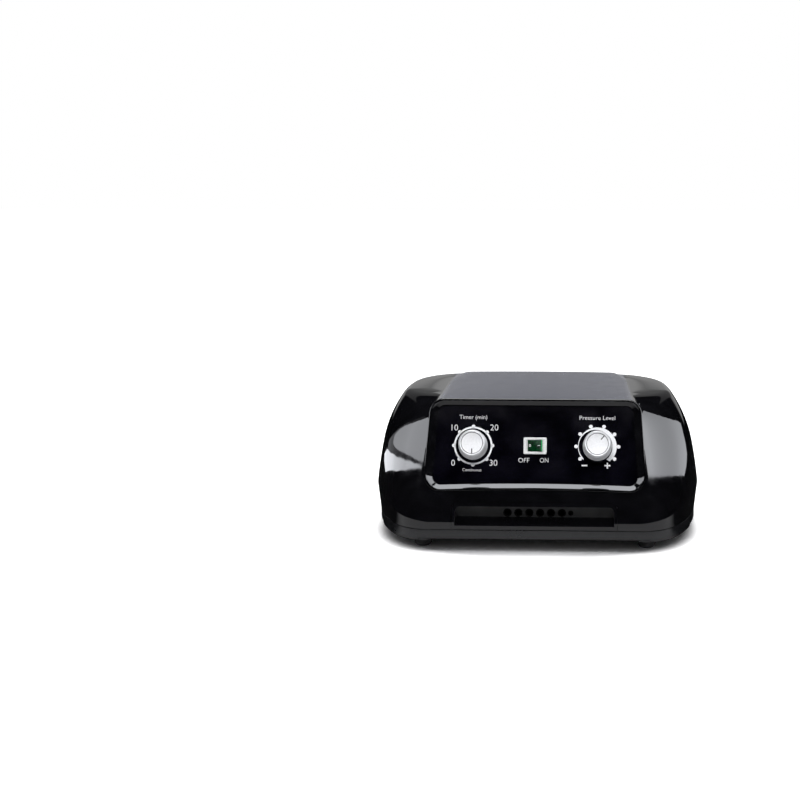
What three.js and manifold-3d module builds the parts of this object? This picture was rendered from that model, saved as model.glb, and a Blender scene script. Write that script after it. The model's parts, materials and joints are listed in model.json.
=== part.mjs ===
// Tabletop air pump for compression therapy, as an assembly of separate pieces.
// Millimetres, +Z up, the control panel faces -Y, +X to the right seen from the front.
// The origin is on the surface that the feet stand on, below the centre of the case.
import * as THREE from 'three';
import { mergeVertices } from 'three/addons/utils/BufferGeometryUtils.js';
import Module from 'manifold-3d';

const wasm = await Module();
wasm.setup();

const { sin, cos, tan, sqrt, max, min, sign, PI } = Math;
const angle = THREE.MathUtils.degToRad;

// Clearances and the overrun that every cut takes past the face it opens
const gap = 0.3;
const overrun = 4;
const weldDistance = 0.0001;

// Case: half width at the widest line of the sides, depths at the crease across front and rear
const body = {
  halfWidth: 151,
  frontDepth: 95.3,
  rearDepth: 95.3,
  frontFlatHalf: 95,
  rearFlatHalf: 104,
  frontTurn: angle(0),
  rearTurn: angle(10),
  frontSideTurn: angle(58),
  rearSideTurn: angle(78),
  wall: 2.6,
  wallDraft: angle(5.6),
  seamZ: 18.5,
  creaseZ: 25.6,
  bulgeZ: 44,
  profileFootZ: 12,
  frontLean: angle(22),
  frontRoll: 35,
  rearLean: angle(7),
  rearRoll: 8,
  sideLowZ: 30,
  sideLowStart: angle(5),
  sideLowEnd: angle(12),
  sideLowRadius: 430,
  sideHighRadius: 110,
  sideHighEnd: angle(36.5),
  roofRiseShare: 0.001,
  roofCrownShare: 0.018,
  roofRingShares: [0.66, 0.3],
};

// Front frame, in the panel's own axes: x across, z up along the sloping panel, y into the case
const frame = {
  proud: 1,
  bottom: 27.7,
  top: 112.1,
  halfWidthTop: 94.7,
  halfWidthBottom: 100.3,
  radiusTop: 14,
  radiusBottom: 15,
  arch: 1.6,
  rim: 1.2,
  land: 0.4,
  depth: 4.2,
  chamferTop: 4.6,
  chamferSide: 6.6,
  chamferBottom: 5.2,
  surround: 2.2,
  ledge: 2.4,
};

// Raised hood behind the frame: it tapers and flattens to the rear, rounds its corners and sinks into the
// roof's edge
const hood = {
  proud: 2,
  rearProud: 0.3,
  taperShare: 0.012,
  reachShare: 0.66,
  tailShare: 0.8,
  corner: 20,
  cornerLength: 48,
};

const fascia = { overlap: 2, thick: 3, seat: 0.3 };

const controls = { height: 69.8, knobSpacing: 111.6 };

const knob = {
  diameter: 26.2,
  faceDiameter: 20.8,
  bevel: 2.6,
  height: 15.6,
  skirtHeight: 2.4,
  skirtStep: 0.5,
  wall: 1.8,
  top: 3,
  hubDiameter: 9.6,
  bore: 9,
  pointerWidth: 1.1,
  pointerLength: 5,
  pointerDepth: 0.4,
  running: 0.8,
};

const shaft = { diameter: 6, flat: 0.8 };
const bush = { diameter: 9, nutAcross: 14, nutThick: 2, proud: 3 };
const timer = { diameter: 46, depth: 28, plate: 2, plateRadius: 4 };
const potentiometer = { diameter: 17, depth: 9, tagWidth: 2, tagLength: 6, tagThick: 0.8, tagPitch: 5 };
const timeRest = angle(180);
const pressureRest = angle(39);

const rocker = {
  frameWidth: 20.8,
  frameHeight: 15,
  frameThick: 2,
  frameRadius: 1.2,
  openWidth: 15.4,
  openHeight: 10.8,
  bodyWidth: 18.8,
  bodyHeight: 12.8,
  bodyDepth: 17,
  wellDepth: 7.5,
  swing: angle(9),
  crown: 1.4,
  dip: 1,
  pivotDepth: 2.5,
  pivotRadius: 1.2,
  pivotLength: 0.7,
  footHalf: 4.6,
  footDepth: 3,
  tagWidth: 4.8,
  tagThick: 0.8,
  tagLength: 7,
  tagSpacing: 10,
};

// Front mouth for the port block, and the ports in it
const port = {
  halfWidth: 74,
  topZ: 42.6,
  cornerRadius: 6,
  side: 2.7,
  lip: 2.3,
  floorFrontZ: 22.3,
  floorRearZ: 26.3,
  ceilingZ: 40,
  recessDepth: 17.3,
  backWall: 4,
  holeDiameter: 6.6,
  holePitch: 9.8,
  holeZ: 30.2,
  holeCount: 6,
  keyDiameter: 3.8,
  keyPitch: 8,
};
const recessRearY = -body.frontDepth + port.recessDepth;
const portRearY = recessRearY + port.backWall;

const hose = { radius: 2.8, bore: 1.8, straight: 7, crestLow: 112, crestHigh: 126 };
const barb = { radius: 1.2, bore: 0.6, length: 5 };
const manifold = { depth: 12, height: 13, margin: 6 };

const tray = {
  bottomZ: 9.5,
  floor: 2.5,
  lipHeight: 4.5,
  lipThick: 1.8,
  edgeInset: 1.4,
  edgeRise: 1.4,
  padDrop: 2,
  padRadius: 12,
  cornerRadius: 32,
  cornerInset: 29,
  pegRadius: 2,
  pegHeight: 4,
  rim: 2.4,
  rimHeight: 4,
};

const foot = {
  radius: 7.8,
  topZ: 7.5,
  stemRadius: 2.4,
  stemLength: 4,
  edge: 2.2,
  sideInset: 50,
  frontInset: 15.8,
  rearInset: 50.3,
};

const screw = {
  front: { turn: angle(50), inset: 22 },
  rear: { turn: angle(30), inset: 16 },
  shank: 3,
  head: 6,
  headThick: 2.2,
  length: 22,
  postRadius: 4.2,
  bossRadius: 4.6,
  postTopZ: 30,
  recess: 4.4,
  socket: 2.5,
};

const rear = { halfWidth: 48, bottomZ: 28, topZ: 62, setback: 10.5, thick: 2.4, margin: 3, ledge: 4,
  radius: 3 };
const rearFaceY = body.rearDepth - rear.setback;

const inlet = {
  x: -19,
  z: 45,
  width: 28,
  height: 20,
  depth: 20,
  flangeWidth: 34,
  flangeHeight: 25,
  flangeThick: 3,
  flangeRadius: 2,
  wellWidth: 24,
  wellHeight: 16,
  wellDepth: 16,
  chamfer: 4,
};
const pin = { width: 4, thick: 2, length: 12, spacing: 7, rise: 3, tail: 6 };
const fuse = {
  x: 25,
  z: 45,
  diameter: 12.6,
  flangeDiameter: 18,
  flangeThick: 2,
  depth: 24,
  bore: 9.4,
  capDiameter: 8.8,
  capLength: 12,
  headDiameter: 12,
  headThick: 3,
  slotWidth: 1.2,
  slotDepth: 1,
};

const vent = {
  width: 3,
  trayLength: 30,
  trayPitch: 8,
  trayCount: 6,
  rearInset: 60,
  rearZ: 74,
  rearLength: 16,
  rearPitch: 6.5,
  rearCount: 4,
  rearShift: 2.6,
};

// Diaphragm compressor on rubber mounts; its armature slides along X between two coils
const pump = {
  sideInset: 81,
  y: 12,
  baseZ: 23,
  baseWidth: 56,
  baseThick: 4,
  baseRadius: 6,
  mountInset: 9,
  mountRadius: 6,
  mountWaist: 1.6,
  axisZ: 64,
  coreLength: 42,
  coreHeight: 24,
  yoke: 8,
  sideLeg: 7,
  middleLeg: 10,
  legLength: 14,
  airGap: 1.6,
  coilWall: 8,
  coilRadius: 5,
  armatureThick: 8,
  armatureLength: 34,
  rodRadius: 3,
  rodProud: 3,
  wallX: 28,
  wallThick: 4,
  headRadius: 26,
  headThick: 12,
  chamberRadius: 20,
  chamberDepth: 8,
  diaphragmRadius: 24,
  diaphragmThick: 2.4,
  windowRadius: 9,
};
const pumpX = pump.sideInset - body.halfWidth;
const diaphragmX = pump.wallX + pump.wallThick + gap;
const headX = diaphragmX + pump.diaphragmThick + gap;
const pumpHalfLength = headX + pump.headThick;

// Rotary distributor: a motor below, a ported rotor in a round body above, six outlets to the front
const valve = {
  besidePump: 1.5,
  y: 24,
  motorRadius: 21,
  motorHeight: 20,
  bodyRadius: 24,
  bodyHeight: 20,
  wall: 3,
  rotorThick: 6,
  portRadius: 3,
  spindleRadius: 2.5,
  outletPitch: 7.2,
  outletRise: 11,
  railDepth: 8,
  railHeight: 9,
  railY: -6,
  inletSpacing: 12,
  tabRadius: 5,
  tabThick: 4,
};
const valveX = pumpX + pumpHalfLength + valve.besidePump + valve.bodyRadius;

const board = {
  sideInset: 25,
  y: -4,
  width: 48,
  length: 78,
  thick: 1.6,
  z: 22,
  standoffRadius: 3,
  inset: 5,
  pegRadius: 1.2,
  pegProud: 1,
};
const boardX = body.halfWidth - board.sideInset - board.width / 2;
const sink = { x: 10, y: -22, width: 22, length: 20, height: 24, base: 3, fins: 5, fin: 1.4 };
const capacitor = { x: -12, y: -22, radius: 8, height: 26, groove: 0.6, grooveZ: 22 };
const transformer = { x: 0, y: 14, width: 32, depth: 26, height: 24, window: 8, winding: 5 };

// Finishes
const finish = (color, roughness, metalness = 0) => new THREE.MeshStandardMaterial({ color, roughness,
  metalness });
const finishes = {
  shell: finish(0x050506, 0.06),
  tray: finish(0x08080a, 0.35),
  panel: finish(0x04040a, 0.25),
  silver: finish(0xd4d6da, 0.3, 0.6),
  rocker: finish(0x0c6b35, 0.2),
  rubber: finish(0x151515, 0.85),
  steel: finish(0xb8bbc0, 0.35, 1),
  aluminium: finish(0xa9adb2, 0.45, 1),
  copper: finish(0xb06a3a, 0.4, 1),
  white: finish(0xe8e9ea, 0.4),
  iron: finish(0x53565b, 0.55, 1),
  dark: finish(0x1b1c1f, 0.5),
  nylon: finish(0xdfe0dc, 0.5),
  hose: finish(0xc9ccd0, 0.4),
  circuit: finish(0x1f5a38, 0.5),
};

// Solids from closed geometries, and back
function toSolid(geometry) {
  const source = geometry.clone();
  for (const name of Object.keys(source.attributes)) {
    if (name !== 'position') source.deleteAttribute(name);
  }
  const merged = mergeVertices(source, weldDistance);
  const index = merged.index.array;
  const triangles = [];
  for (let i = 0; i < index.length; i += 3) {
    const [a, b, c] = [index[i], index[i + 1], index[i + 2]];
    if (a !== b && b !== c && c !== a) triangles.push(a, b, c);
  }
  const vertProperties = new Float32Array(merged.attributes.position.array);
  return new wasm.Manifold(new wasm.Mesh({ numProp: 3, vertProperties,
    triVerts: new Uint32Array(triangles) }));
}

function toGeometry(solid) {
  const { vertProperties, triVerts } = solid.getMesh();
  const geometry = new THREE.BufferGeometry();
  geometry.setAttribute('position', new THREE.BufferAttribute(vertProperties, 3));
  geometry.setIndex(new THREE.BufferAttribute(triVerts, 1));
  geometry.computeVertexNormals();
  return geometry;
}

const join = (...solids) => solids.reduce((whole, next) => whole.add(next));
const cut = (solid, ...tools) => tools.reduce((rest, tool) => rest.subtract(tool), solid);
const common = (...solids) => solids.reduce((shared, next) => shared.intersect(next));

function signedVolume(positions, triangles) {
  const corner = (i) => new THREE.Vector3().fromArray(positions, 3 * triangles[i]);
  let volume = 0;
  for (let i = 0; i < triangles.length; i += 3) volume += corner(i).dot(corner(i + 1).cross(corner(i + 2)));
  return volume;
}

// A closed skin over rings of equal point count; each end is closed with a fan to its middle
function loft(rings) {
  const count = rings[0].length;
  const positions = [];
  const triangles = [];
  for (const ring of rings) {
    for (const p of ring) positions.push(p.x, p.y, p.z);
  }
  for (let r = 0; r < rings.length - 1; r += 1) {
    for (let i = 0; i < count; i += 1) {
      const a = r * count + i;
      const b = r * count + ((i + 1) % count);
      triangles.push(a, b, b + count, a, b + count, a + count);
    }
  }
  const closeEnd = (ring, first, flip) => {
    const middle = ring.reduce((sum, p) => sum.add(p), new THREE.Vector3()).divideScalar(count);
    const centre = positions.length / 3;
    positions.push(middle.x, middle.y, middle.z);
    for (let i = 0; i < count; i += 1) {
      const [a, b] = [first + i, first + ((i + 1) % count)];
      triangles.push(...(flip ? [centre, b, a] : [centre, a, b]));
    }
  };
  closeEnd(rings[0], 0, true);
  closeEnd(rings[rings.length - 1], (rings.length - 1) * count, false);
  if (signedVolume(positions, triangles) < 0) triangles.reverse();
  const geometry = new THREE.BufferGeometry();
  geometry.setAttribute('position', new THREE.Float32BufferAttribute(positions, 3));
  geometry.setIndex(triangles);
  return toSolid(geometry);
}

// Common stock shapes
const at = (geometry, x, y, z) => geometry.translate(x, y, z);

function block(width, depth, height, x = 0, y = 0, z = 0) {
  return toSolid(at(new THREE.BoxGeometry(width, depth, height), x, y, z));
}

// A solid turned about +Z from [radius, height] pairs that start and end on the axis
function turned(profile, sides = 24) {
  return new THREE.LatheGeometry(profile.map(([r, h]) => new THREE.Vector2(r, h)), sides).rotateX(PI / 2);
}

function rod(radius, length, sides = 24) {
  return turned([[0, 0], [radius, 0], [radius, length], [0, length]], sides);
}

const upright = (radius, length, x, y, z, sides) => toSolid(at(rod(radius, length, sides), x, y, z));
// Rods that run from y towards +Y, and from x towards +X
const inward = (radius, length, x, y, z, sides) => toSolid(at(rod(radius, length, sides).rotateX(-PI / 2),
  x, y, z));
const sideways = (radius, length, x, y, z, sides) => toSolid(at(rod(radius, length, sides).rotateY(PI / 2),
  x, y, z));

// A rounded rectangle in x and z, extruded from y towards +Y
function roundedPlate(width, height, radius, depth, x, y, z, steps = 4) {
  const shape = new THREE.Shape();
  const [w, h] = [width / 2 - radius, height / 2 - radius];
  shape.absarc(w, h, radius, 0, PI / 2);
  shape.absarc(-w, h, radius, PI / 2, PI);
  shape.absarc(-w, -h, radius, PI, PI * 1.5);
  shape.absarc(w, -h, radius, PI * 1.5, PI * 2);
  const flat = new THREE.ExtrudeGeometry(shape, { depth, bevelEnabled: false, curveSegments: steps });
  return toSolid(at(flat.rotateX(PI / 2).translate(0, depth, 0), x, y, z));
}

// A closed polygon in x and y, extruded from z upwards
function prism(points, height, z) {
  const shape = new THREE.Shape(points.map(([x, y]) => new THREE.Vector2(x, y)));
  return toSolid(at(new THREE.ExtrudeGeometry(shape, { depth: height, bevelEnabled: false }), 0, 0, z));
}

// Plan outline of the case, one quarter: end run, corner arc and side arc, each tangent to the next.
// Each point is followed by the unit normal of the outline there.
function quarterOutline(halfWidth, halfDepth, flatHalf, endTurn, turn, steps) {
  const endRadius = endTurn > 0 ? flatHalf / sin(endTurn) : 0;
  const runX = halfWidth - flatHalf;
  const runY = halfDepth - endRadius * (1 - cos(endTurn));
  const a = sin(turn) - sin(endTurn);
  const b = 1 - sin(turn);
  const c = cos(endTurn) - cos(turn);
  const d = cos(turn);
  const cornerRadius = (runX * d - b * runY) / (a * d - b * c);
  const sideRadius = (a * runY - c * runX) / (a * d - b * c);
  const points = [];
  const runs = endTurn > 0 ? steps.bow : 1;
  for (let i = 0; i < runs; i += 1) {
    const share = i / runs;
    const swing = endTurn * share;
    const x = endTurn > 0 ? endRadius * sin(swing) : flatHalf * share;
    points.push([x, halfDepth - endRadius * (1 - cos(swing)), sin(swing), cos(swing)]);
  }
  const cornerX = flatHalf - cornerRadius * sin(endTurn);
  const cornerY = runY - cornerRadius * cos(endTurn);
  for (let i = 0; i < steps.corner; i += 1) {
    const swing = endTurn + ((turn - endTurn) * i) / steps.corner;
    points.push([cornerX + cornerRadius * sin(swing), cornerY + cornerRadius * cos(swing), sin(swing),
      cos(swing)]);
  }
  for (let i = 0; i <= steps.side; i += 1) {
    const swing = turn + ((PI / 2 - turn) * i) / steps.side;
    points.push([halfWidth - sideRadius * (1 - sin(swing)), sideRadius * cos(swing), sin(swing),
      cos(swing)]);
  }
  return points;
}

function planRing(insets, steps) {
  const halfWidth = body.halfWidth - insets.side;
  const share = halfWidth / body.halfWidth;
  const { frontFlatHalf, frontTurn, frontSideTurn, rearFlatHalf, rearTurn, rearSideTurn } = body;
  const quarter = (depth, flatHalf, ...turns) => quarterOutline(halfWidth, depth, flatHalf * share,
    ...turns, steps);
  const front = quarter(body.frontDepth - insets.front, frontFlatHalf, frontTurn, frontSideTurn);
  const back = quarter(body.rearDepth - insets.rear, rearFlatHalf, rearTurn, rearSideTurn);
  const right = [...front.map(([x, y, nx, ny]) => [x, -y, nx, -ny]), ...back.slice(0, -1).reverse()];
  const left = right.slice(1, -1).reverse().map(([x, y, nx, ny]) => [-x, y, -nx, ny]);
  return [...right, ...left];
}

// Heights of the roof: it climbs to the rear and is crowned across, more so the further back
const frontTopY = -body.frontDepth + frame.top * sin(body.frontLean) - frame.proud * cos(body.frontLean);
const hoodTopZ = body.creaseZ + frame.top * cos(body.frontLean) + frame.proud * sin(body.frontLean);
const roofZ = hoodTopZ - hood.proud;

function lifted(x, y, z) {
  const weight = max(0, (z - body.seamZ) / (roofZ - body.seamZ)) ** 2;
  const across = 1 - (x / body.halfWidth) ** 2;
  const rise = body.roofRiseShare + body.roofCrownShare * across;
  return new THREE.Vector3(x, y, z + weight * (y - frontTopY) * rise);
}

// A profile of the dome: [inset, height, slope of the normal], from below the crease to the roof
function arcPoints(points, radius, from, to, count) {
  const [inset, z] = points[points.length - 1];
  for (let i = 1; i <= count; i += 1) {
    const slope = from + ((to - from) * i) / count;
    points.push([inset + radius * (cos(from) - cos(slope)), z + radius * (sin(slope) - sin(from)), slope]);
  }
}

const profileSteps = 12;

function leaningProfile(lean, roll) {
  const rollZ = roofZ - roll * (1 - sin(lean));
  const onSlope = (z) => [(z - body.creaseZ) * tan(lean), z, lean];
  const points = [onSlope(body.profileFootZ), onSlope(rollZ)];
  arcPoints(points, roll, lean, PI / 2, profileSteps);
  return points;
}

function sideProfile() {
  const foot = -(body.sideLowZ - body.profileFootZ) * tan(body.sideLowStart);
  const points = [[foot, body.profileFootZ, body.sideLowStart], [0, body.sideLowZ, body.sideLowStart]];
  arcPoints(points, body.sideLowRadius, body.sideLowStart, body.sideLowEnd, profileSteps);
  arcPoints(points, body.sideHighRadius, body.sideLowEnd, body.sideHighEnd, profileSteps);
  const shoulder = (roofZ - points[points.length - 1][1]) / (1 - sin(body.sideHighEnd));
  arcPoints(points, shoulder, body.sideHighEnd, PI / 2, profileSteps);
  const atBulge = insetAt(points, 0, body.bulgeZ);
  return points.map(([inset, z, slope]) => [inset - atBulge, z, slope]);
}

function insetAt(profile, offset, z) {
  const moved = profile.map(([inset, height, slope]) => [inset + offset * cos(slope),
    height - offset * sin(slope)]);
  let i = 1;
  while (i < moved.length - 1 && moved[i][1] < z) i += 1;
  const [[insetA, zA], [insetB, zB]] = [moved[i - 1], moved[i]];
  const share = zB > zA ? min(1, (z - zA) / (zB - zA)) : 1;
  return insetA + (insetB - insetA) * share;
}

const domeProfiles = {
  front: leaningProfile(body.frontLean, body.frontRoll),
  rear: leaningProfile(body.rearLean, body.rearRoll),
  side: sideProfile(),
};

function domeInsets(offset, z) {
  const { front, rear: back, side } = domeProfiles;
  return { front: insetAt(front, offset, z), rear: insetAt(back, offset, z),
    side: insetAt(side, offset, z) };
}

function wallInsets(offset, z) {
  const ends = (body.creaseZ - z) * tan(body.wallDraft) + offset;
  return { front: ends, rear: ends, side: (body.bulgeZ - z) * tan(body.wallDraft) + offset };
}

// The flared wall and the leaning dome meet in a crease that is low across the front and rear
// and climbs round the corners to the widest line of the sides: its height at each plan point
function creaseHeights(offset, steps) {
  const reachAt = (insets, i) => {
    const [x, y, nx, ny] = planRing(insets, steps)[i];
    return x * nx + y * ny;
  };
  return planRing(wallInsets(offset, body.seamZ), steps).map((_, i) => {
    let [low, high] = [body.seamZ, 2 * body.bulgeZ];
    for (let pass = 0; pass < 20; pass += 1) {
      const z = (low + high) / 2;
      if (reachAt(domeInsets(offset, z), i) > reachAt(wallInsets(offset, z), i)) low = z;
      else high = z;
    }
    return (low + high) / 2;
  });
}

// The case without its hood, moved inwards by offset; where hollow it runs on below the seam
function domedBody(offset, levels, steps) {
  const crease = creaseHeights(offset, steps);
  const footZ = body.seamZ - (offset > 0 ? overrun : 0);
  const topZ = roofZ - offset;
  const ringAt = (heights, insetsAt) => heights.map((z, i) => {
    const [x, y] = planRing(insetsAt(offset, z), steps)[i];
    return lifted(x, y, z);
  });
  const rings = [ringAt(crease.map(() => footZ), wallInsets)];
  for (let k = 0; k <= levels; k += 1) {
    const share = sin((PI / 2) * (k / levels));
    rings.push(ringAt(crease.map((z) => z + (topZ - z) * share), domeInsets));
  }
  const edge = rings[rings.length - 1];
  const middleY = (edge[0].y + edge[Math.floor(edge.length / 2)].y) / 2;
  for (const share of body.roofRingShares) {
    rings.push(edge.map(({ x, y }) => lifted(x * share, middleY + (y - middleY) * share, topZ)));
  }
  return loft(rings);
}

// Outline of the front frame in panel axes, moved inwards on each side
function frameOutline(inset, steps) {
  const slant = (frame.halfWidthBottom - frame.halfWidthTop) / (frame.top - frame.bottom);
  const bottom = frame.bottom + inset.bottom;
  const top = frame.top - inset.top;
  const halfAt = (s) => frame.halfWidthTop + (frame.top - s) * slant - inset.side;
  const corners = [
    [halfAt(bottom), bottom, max(frame.radiusBottom - inset.side, gap)],
    [halfAt(top), top, max(frame.radiusTop - inset.side, gap)],
    [-halfAt(top), top, max(frame.radiusTop - inset.side, gap)],
    [-halfAt(bottom), bottom, max(frame.radiusBottom - inset.side, gap)],
  ].map(([x, s, r]) => ({ p: new THREE.Vector2(x, s), r }));
  const points = [];
  corners.forEach(({ p, r }, i) => {
    const before = corners[(i + 3) % 4].p.clone().sub(p).normalize();
    const after = corners[(i + 1) % 4].p.clone().sub(p).normalize();
    const half = Math.acos(before.dot(after)) / 2;
    const centre = p.clone().addScaledVector(before.clone().add(after).normalize(), r / sin(half));
    const start = p.clone().addScaledVector(before, r / tan(half)).sub(centre);
    const sweep = PI - 2 * half;
    for (let k = 0; k <= steps.corner; k += 1) {
      points.push(start.clone().rotateAround(new THREE.Vector2(), (sweep * k) / steps.corner).add(centre));
    }
    if (i === 1 || i === 3) {
      const from = points[points.length - 1];
      const next = corners[(i + 1) % 4];
      const reach = next.p.clone().sub(p).length() - 2 * (r / tan(half));
      for (let k = 1; k < steps.edge; k += 1) {
        const step = from.clone().addScaledVector(after, (reach * k) / steps.edge);
        const share = 1 - (step.x / from.x) ** 2;
        points.push(new THREE.Vector2(step.x, step.y + (i === 3 ? frame.arch * share : 0)));
      }
    }
  });
  return points;
}

const frameInset = (inset) => ({ top: inset, side: inset, bottom: inset });
const bezelInner = (extra = 0) => ({
  top: frame.rim + frame.chamferTop + extra,
  side: frame.rim + frame.chamferSide + extra,
  bottom: frame.rim + frame.chamferBottom + extra,
});

// The chamfer's sloping sides, carried on to a depth y of the panel's axes
const bezelSlope = (y) => {
  const share = y / (frame.depth - frame.land);
  return {
    top: frame.rim + frame.chamferTop * share,
    side: frame.rim + frame.chamferSide * share,
    bottom: frame.rim + frame.chamferBottom * share,
  };
};

const outlineAt = (outline, y) => outline.map(({ x, y: s }) => new THREE.Vector3(x, y, s));

// Panel group: its origin is at the foot of the sloping front, on the frame's front plane
const panel = new THREE.Group();
panel.rotation.x = -body.frontLean;
panel.position.set(
  0,
  -body.frontDepth - frame.proud * cos(body.frontLean),
  body.creaseZ + frame.proud * sin(body.frontLean),
);
panel.updateMatrixWorld(true);

function fromPanel(solid) {
  return toSolid(toGeometry(solid).applyMatrix4(panel.matrixWorld));
}

// Everything behind the frame's front plane, moved inwards by offset
function behindPanel(offset) {
  const reach = 2 * body.halfWidth;
  return fromPanel(block(2 * reach, reach, 2 * reach, 0, reach / 2 + offset, 0));
}

// The hood: the frame's outline carried to the rear, tapering, then sinking round the roof's rear edge
const rollStartY = body.rearDepth - insetAt(domeProfiles.rear, 0, roofZ);

function hoodBar(offset, steps) {
  const outline = frameOutline(frameInset(offset), steps);
  const startY = -body.frontDepth - overrun;
  const roll = body.rearRoll - offset;
  const cornerY = rollStartY - hood.cornerLength;
  const cornerDepth = hood.cornerLength + roll * hood.reachShare;
  const places = [startY, frontTopY, cornerY];
  for (let k = 1; k < steps.roll; k += 1) {
    places.push(cornerY + hood.cornerLength * sin((PI / 2) * (k / steps.roll)));
  }
  for (let k = 0; k <= steps.roll; k += 1) {
    places.push(rollStartY + (roll * hood.tailShare * k) / steps.roll);
  }
  return loft(places.map((y) => {
    const turn = max(0, y - rollStartY) / (roll * hood.reachShare);
    const back = min(1, max(0, y - frontTopY) / (rollStartY - frontTopY));
    const flattened = (hood.proud - hood.rearProud) * back + hood.rearProud * turn ** 2;
    const sunk = roll - sqrt(roll ** 2 - max(0, y - rollStartY) ** 2) + flattened;
    const cornerTurn = min(1, max(0, y - cornerY) / cornerDepth);
    const corner = hood.corner * (1 - sqrt(1 - cornerTurn ** 2));
    const halfWidth = frame.halfWidthTop - hood.taperShare * max(0, y - frontTopY) - corner;
    const narrowing = halfWidth / frame.halfWidthTop;
    return outline.map(({ x, y: s }) => {
      const { z } = lifted(x * narrowing, y, panel.position.z + s * cos(body.frontLean));
      return new THREE.Vector3(x * narrowing, y, z - sunk);
    });
  }));
}

function caseBody(offset, frontInset, levels, steps) {
  const hoodStock = hoodBar(offset, { corner: steps.corner - 1, edge: steps.corner - 1,
    roll: steps.corner });
  return join(domedBody(offset, levels, steps), common(hoodStock, behindPanel(frontInset)));
}

const seatDepth = frame.depth + fascia.thick + 2 * fascia.seat;
const fineSteps = { bow: 3, corner: 5, side: 4 };
const coarseSteps = { bow: 2, corner: 3, side: 2 };
const outerShape = caseBody(0, 0, 8, fineSteps);
// The middle of the wall, which bosses and webs run into
const coreShape = caseBody(body.wall / 2, body.wall / 2, 6, coarseSteps);
const cavity = caseBody(body.wall, seatDepth + frame.ledge, 6, coarseSteps);

// Case screws stand in from the corners, at the point where the outline has turned by a named angle
const screwPlaces = [[-1, screw.front], [1, screw.rear]].flatMap(([sy, { turn, inset }]) => {
  const ring = planRing(wallInsets(0, body.seamZ), { bow: 1, corner: 30, side: 1 });
  const turnOff = ([, , nx, ny]) => Math.abs(Math.atan2(nx, sy * ny) - turn);
  const [x, y, nx, ny] = ring.reduce((best, point) => (turnOff(point) < turnOff(best) ? point : best));
  return [-1, 1].map((sx) => [sx * (x - inset * nx), y - inset * ny]);
});

// Prisms that cut or add a section drawn in y and z, across the width
function acrossPrism(points, halfWidth) {
  const shape = new THREE.Shape(points.map(([y, z]) => new THREE.Vector2(y, z)));
  const flat = new THREE.ExtrudeGeometry(shape, { depth: 2 * halfWidth, bevelEnabled: false });
  return toSolid(at(flat.rotateY(PI / 2).rotateX(PI / 2), -halfWidth, 0, 0));
}

const panelLoft = (outline, fromY, toY) => loft([outlineAt(outline, fromY), outlineAt(outline, toY)]);

// Upper shell
function upperHousing() {
  const bossZ = screw.postTopZ + gap;
  const bosses = screwPlaces.map(([x, y]) => {
    const boss = upright(screw.bossRadius, hoodTopZ - bossZ, x, y, bossZ, 8);
    const webLength = body.halfWidth - Math.abs(x);
    const webX = x + (sign(x) * webLength) / 2;
    const web = block(webLength, body.wall, hoodTopZ - bossZ, webX, y, (hoodTopZ + bossZ) / 2);
    return common(join(boss, web), coreShape);
  });
  const pilots = screwPlaces.map(([x, y]) => upright(screw.shank / 2 + gap, screw.length, x, y,
    bossZ - overrun, 8));
  const surround = panelLoft(frameOutline(frameInset(frame.rim - gap - frame.surround), frameSteps),
    body.wall, seatDepth + frame.ledge);
  const seat = panelLoft(frameOutline(frameInset(frame.rim - gap), frameSteps), -overrun, seatDepth);
  const window = panelLoft(frameOutline(bezelInner(fascia.overlap), frameSteps), 0,
    seatDepth + frame.ledge + overrun);
  const stock = join(cut(outerShape, cavity), common(fromPanel(surround), coreShape),
    common(rearStock(), coreShape), ...bosses);
  return cut(stock, ...rearCuts(), fromPanel(seat), fromPanel(window), portMouth(gap), ...pilots,
    ...rearVents());
}

const frameSteps = { corner: 4, edge: 4 };

function rearStock() {
  const innerY = rearFaceY - rear.thick - gap - rear.margin;
  const height = rear.topZ - rear.bottomZ + 2 * rear.margin;
  const depth = body.rearDepth - innerY;
  return block(2 * (rear.halfWidth + rear.margin), depth, height, 0, innerY + depth / 2,
    (rear.topZ + rear.bottomZ) / 2);
}

function rearCuts() {
  const middleZ = (rear.topZ + rear.bottomZ) / 2;
  const height = rear.topZ - rear.bottomZ;
  const floorY = rearFaceY - rear.thick - gap;
  const recess = roundedPlate(2 * (rear.halfWidth + gap), height + 2 * gap, rear.radius, body.rearDepth, 0,
    floorY, middleZ);
  const opening = roundedPlate(2 * (rear.halfWidth - rear.ledge), height - 2 * rear.ledge, rear.radius,
    rear.margin + 2 * overrun, 0,
    floorY - rear.margin - overrun, middleZ);
  return [recess, opening];
}

function rearVents() {
  const slots = [];
  for (let i = 0; i < vent.rearCount; i += 1) {
    for (const side of [-1, 1]) {
      const x = side * (body.halfWidth - vent.rearInset - vent.rearShift * i);
      slots.push(block(vent.rearLength, body.rearDepth, vent.width, x, body.rearDepth / 2,
        vent.rearZ + i * vent.rearPitch));
    }
  }
  return slots;
}

// Front mouth of the shell: open at the seam below, round at its upper corners
function portMouth(clearance) {
  const halfWidth = port.halfWidth + clearance;
  const top = port.topZ + clearance;
  const bottom = body.seamZ - overrun;
  const shape = new THREE.Shape();
  shape.moveTo(-halfWidth, bottom);
  shape.lineTo(halfWidth, bottom);
  shape.absarc(halfWidth - port.cornerRadius, top - port.cornerRadius, port.cornerRadius, 0, PI / 2);
  shape.absarc(-halfWidth + port.cornerRadius, top - port.cornerRadius, port.cornerRadius, PI / 2, PI);
  const depth = body.frontDepth + portRearY + overrun + clearance;
  const geometry = new THREE.ExtrudeGeometry(shape, { depth, bevelEnabled: false, curveSegments: 4 });
  return toSolid(at(geometry.rotateX(PI / 2), 0, depth - body.frontDepth - overrun, 0));
}

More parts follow.
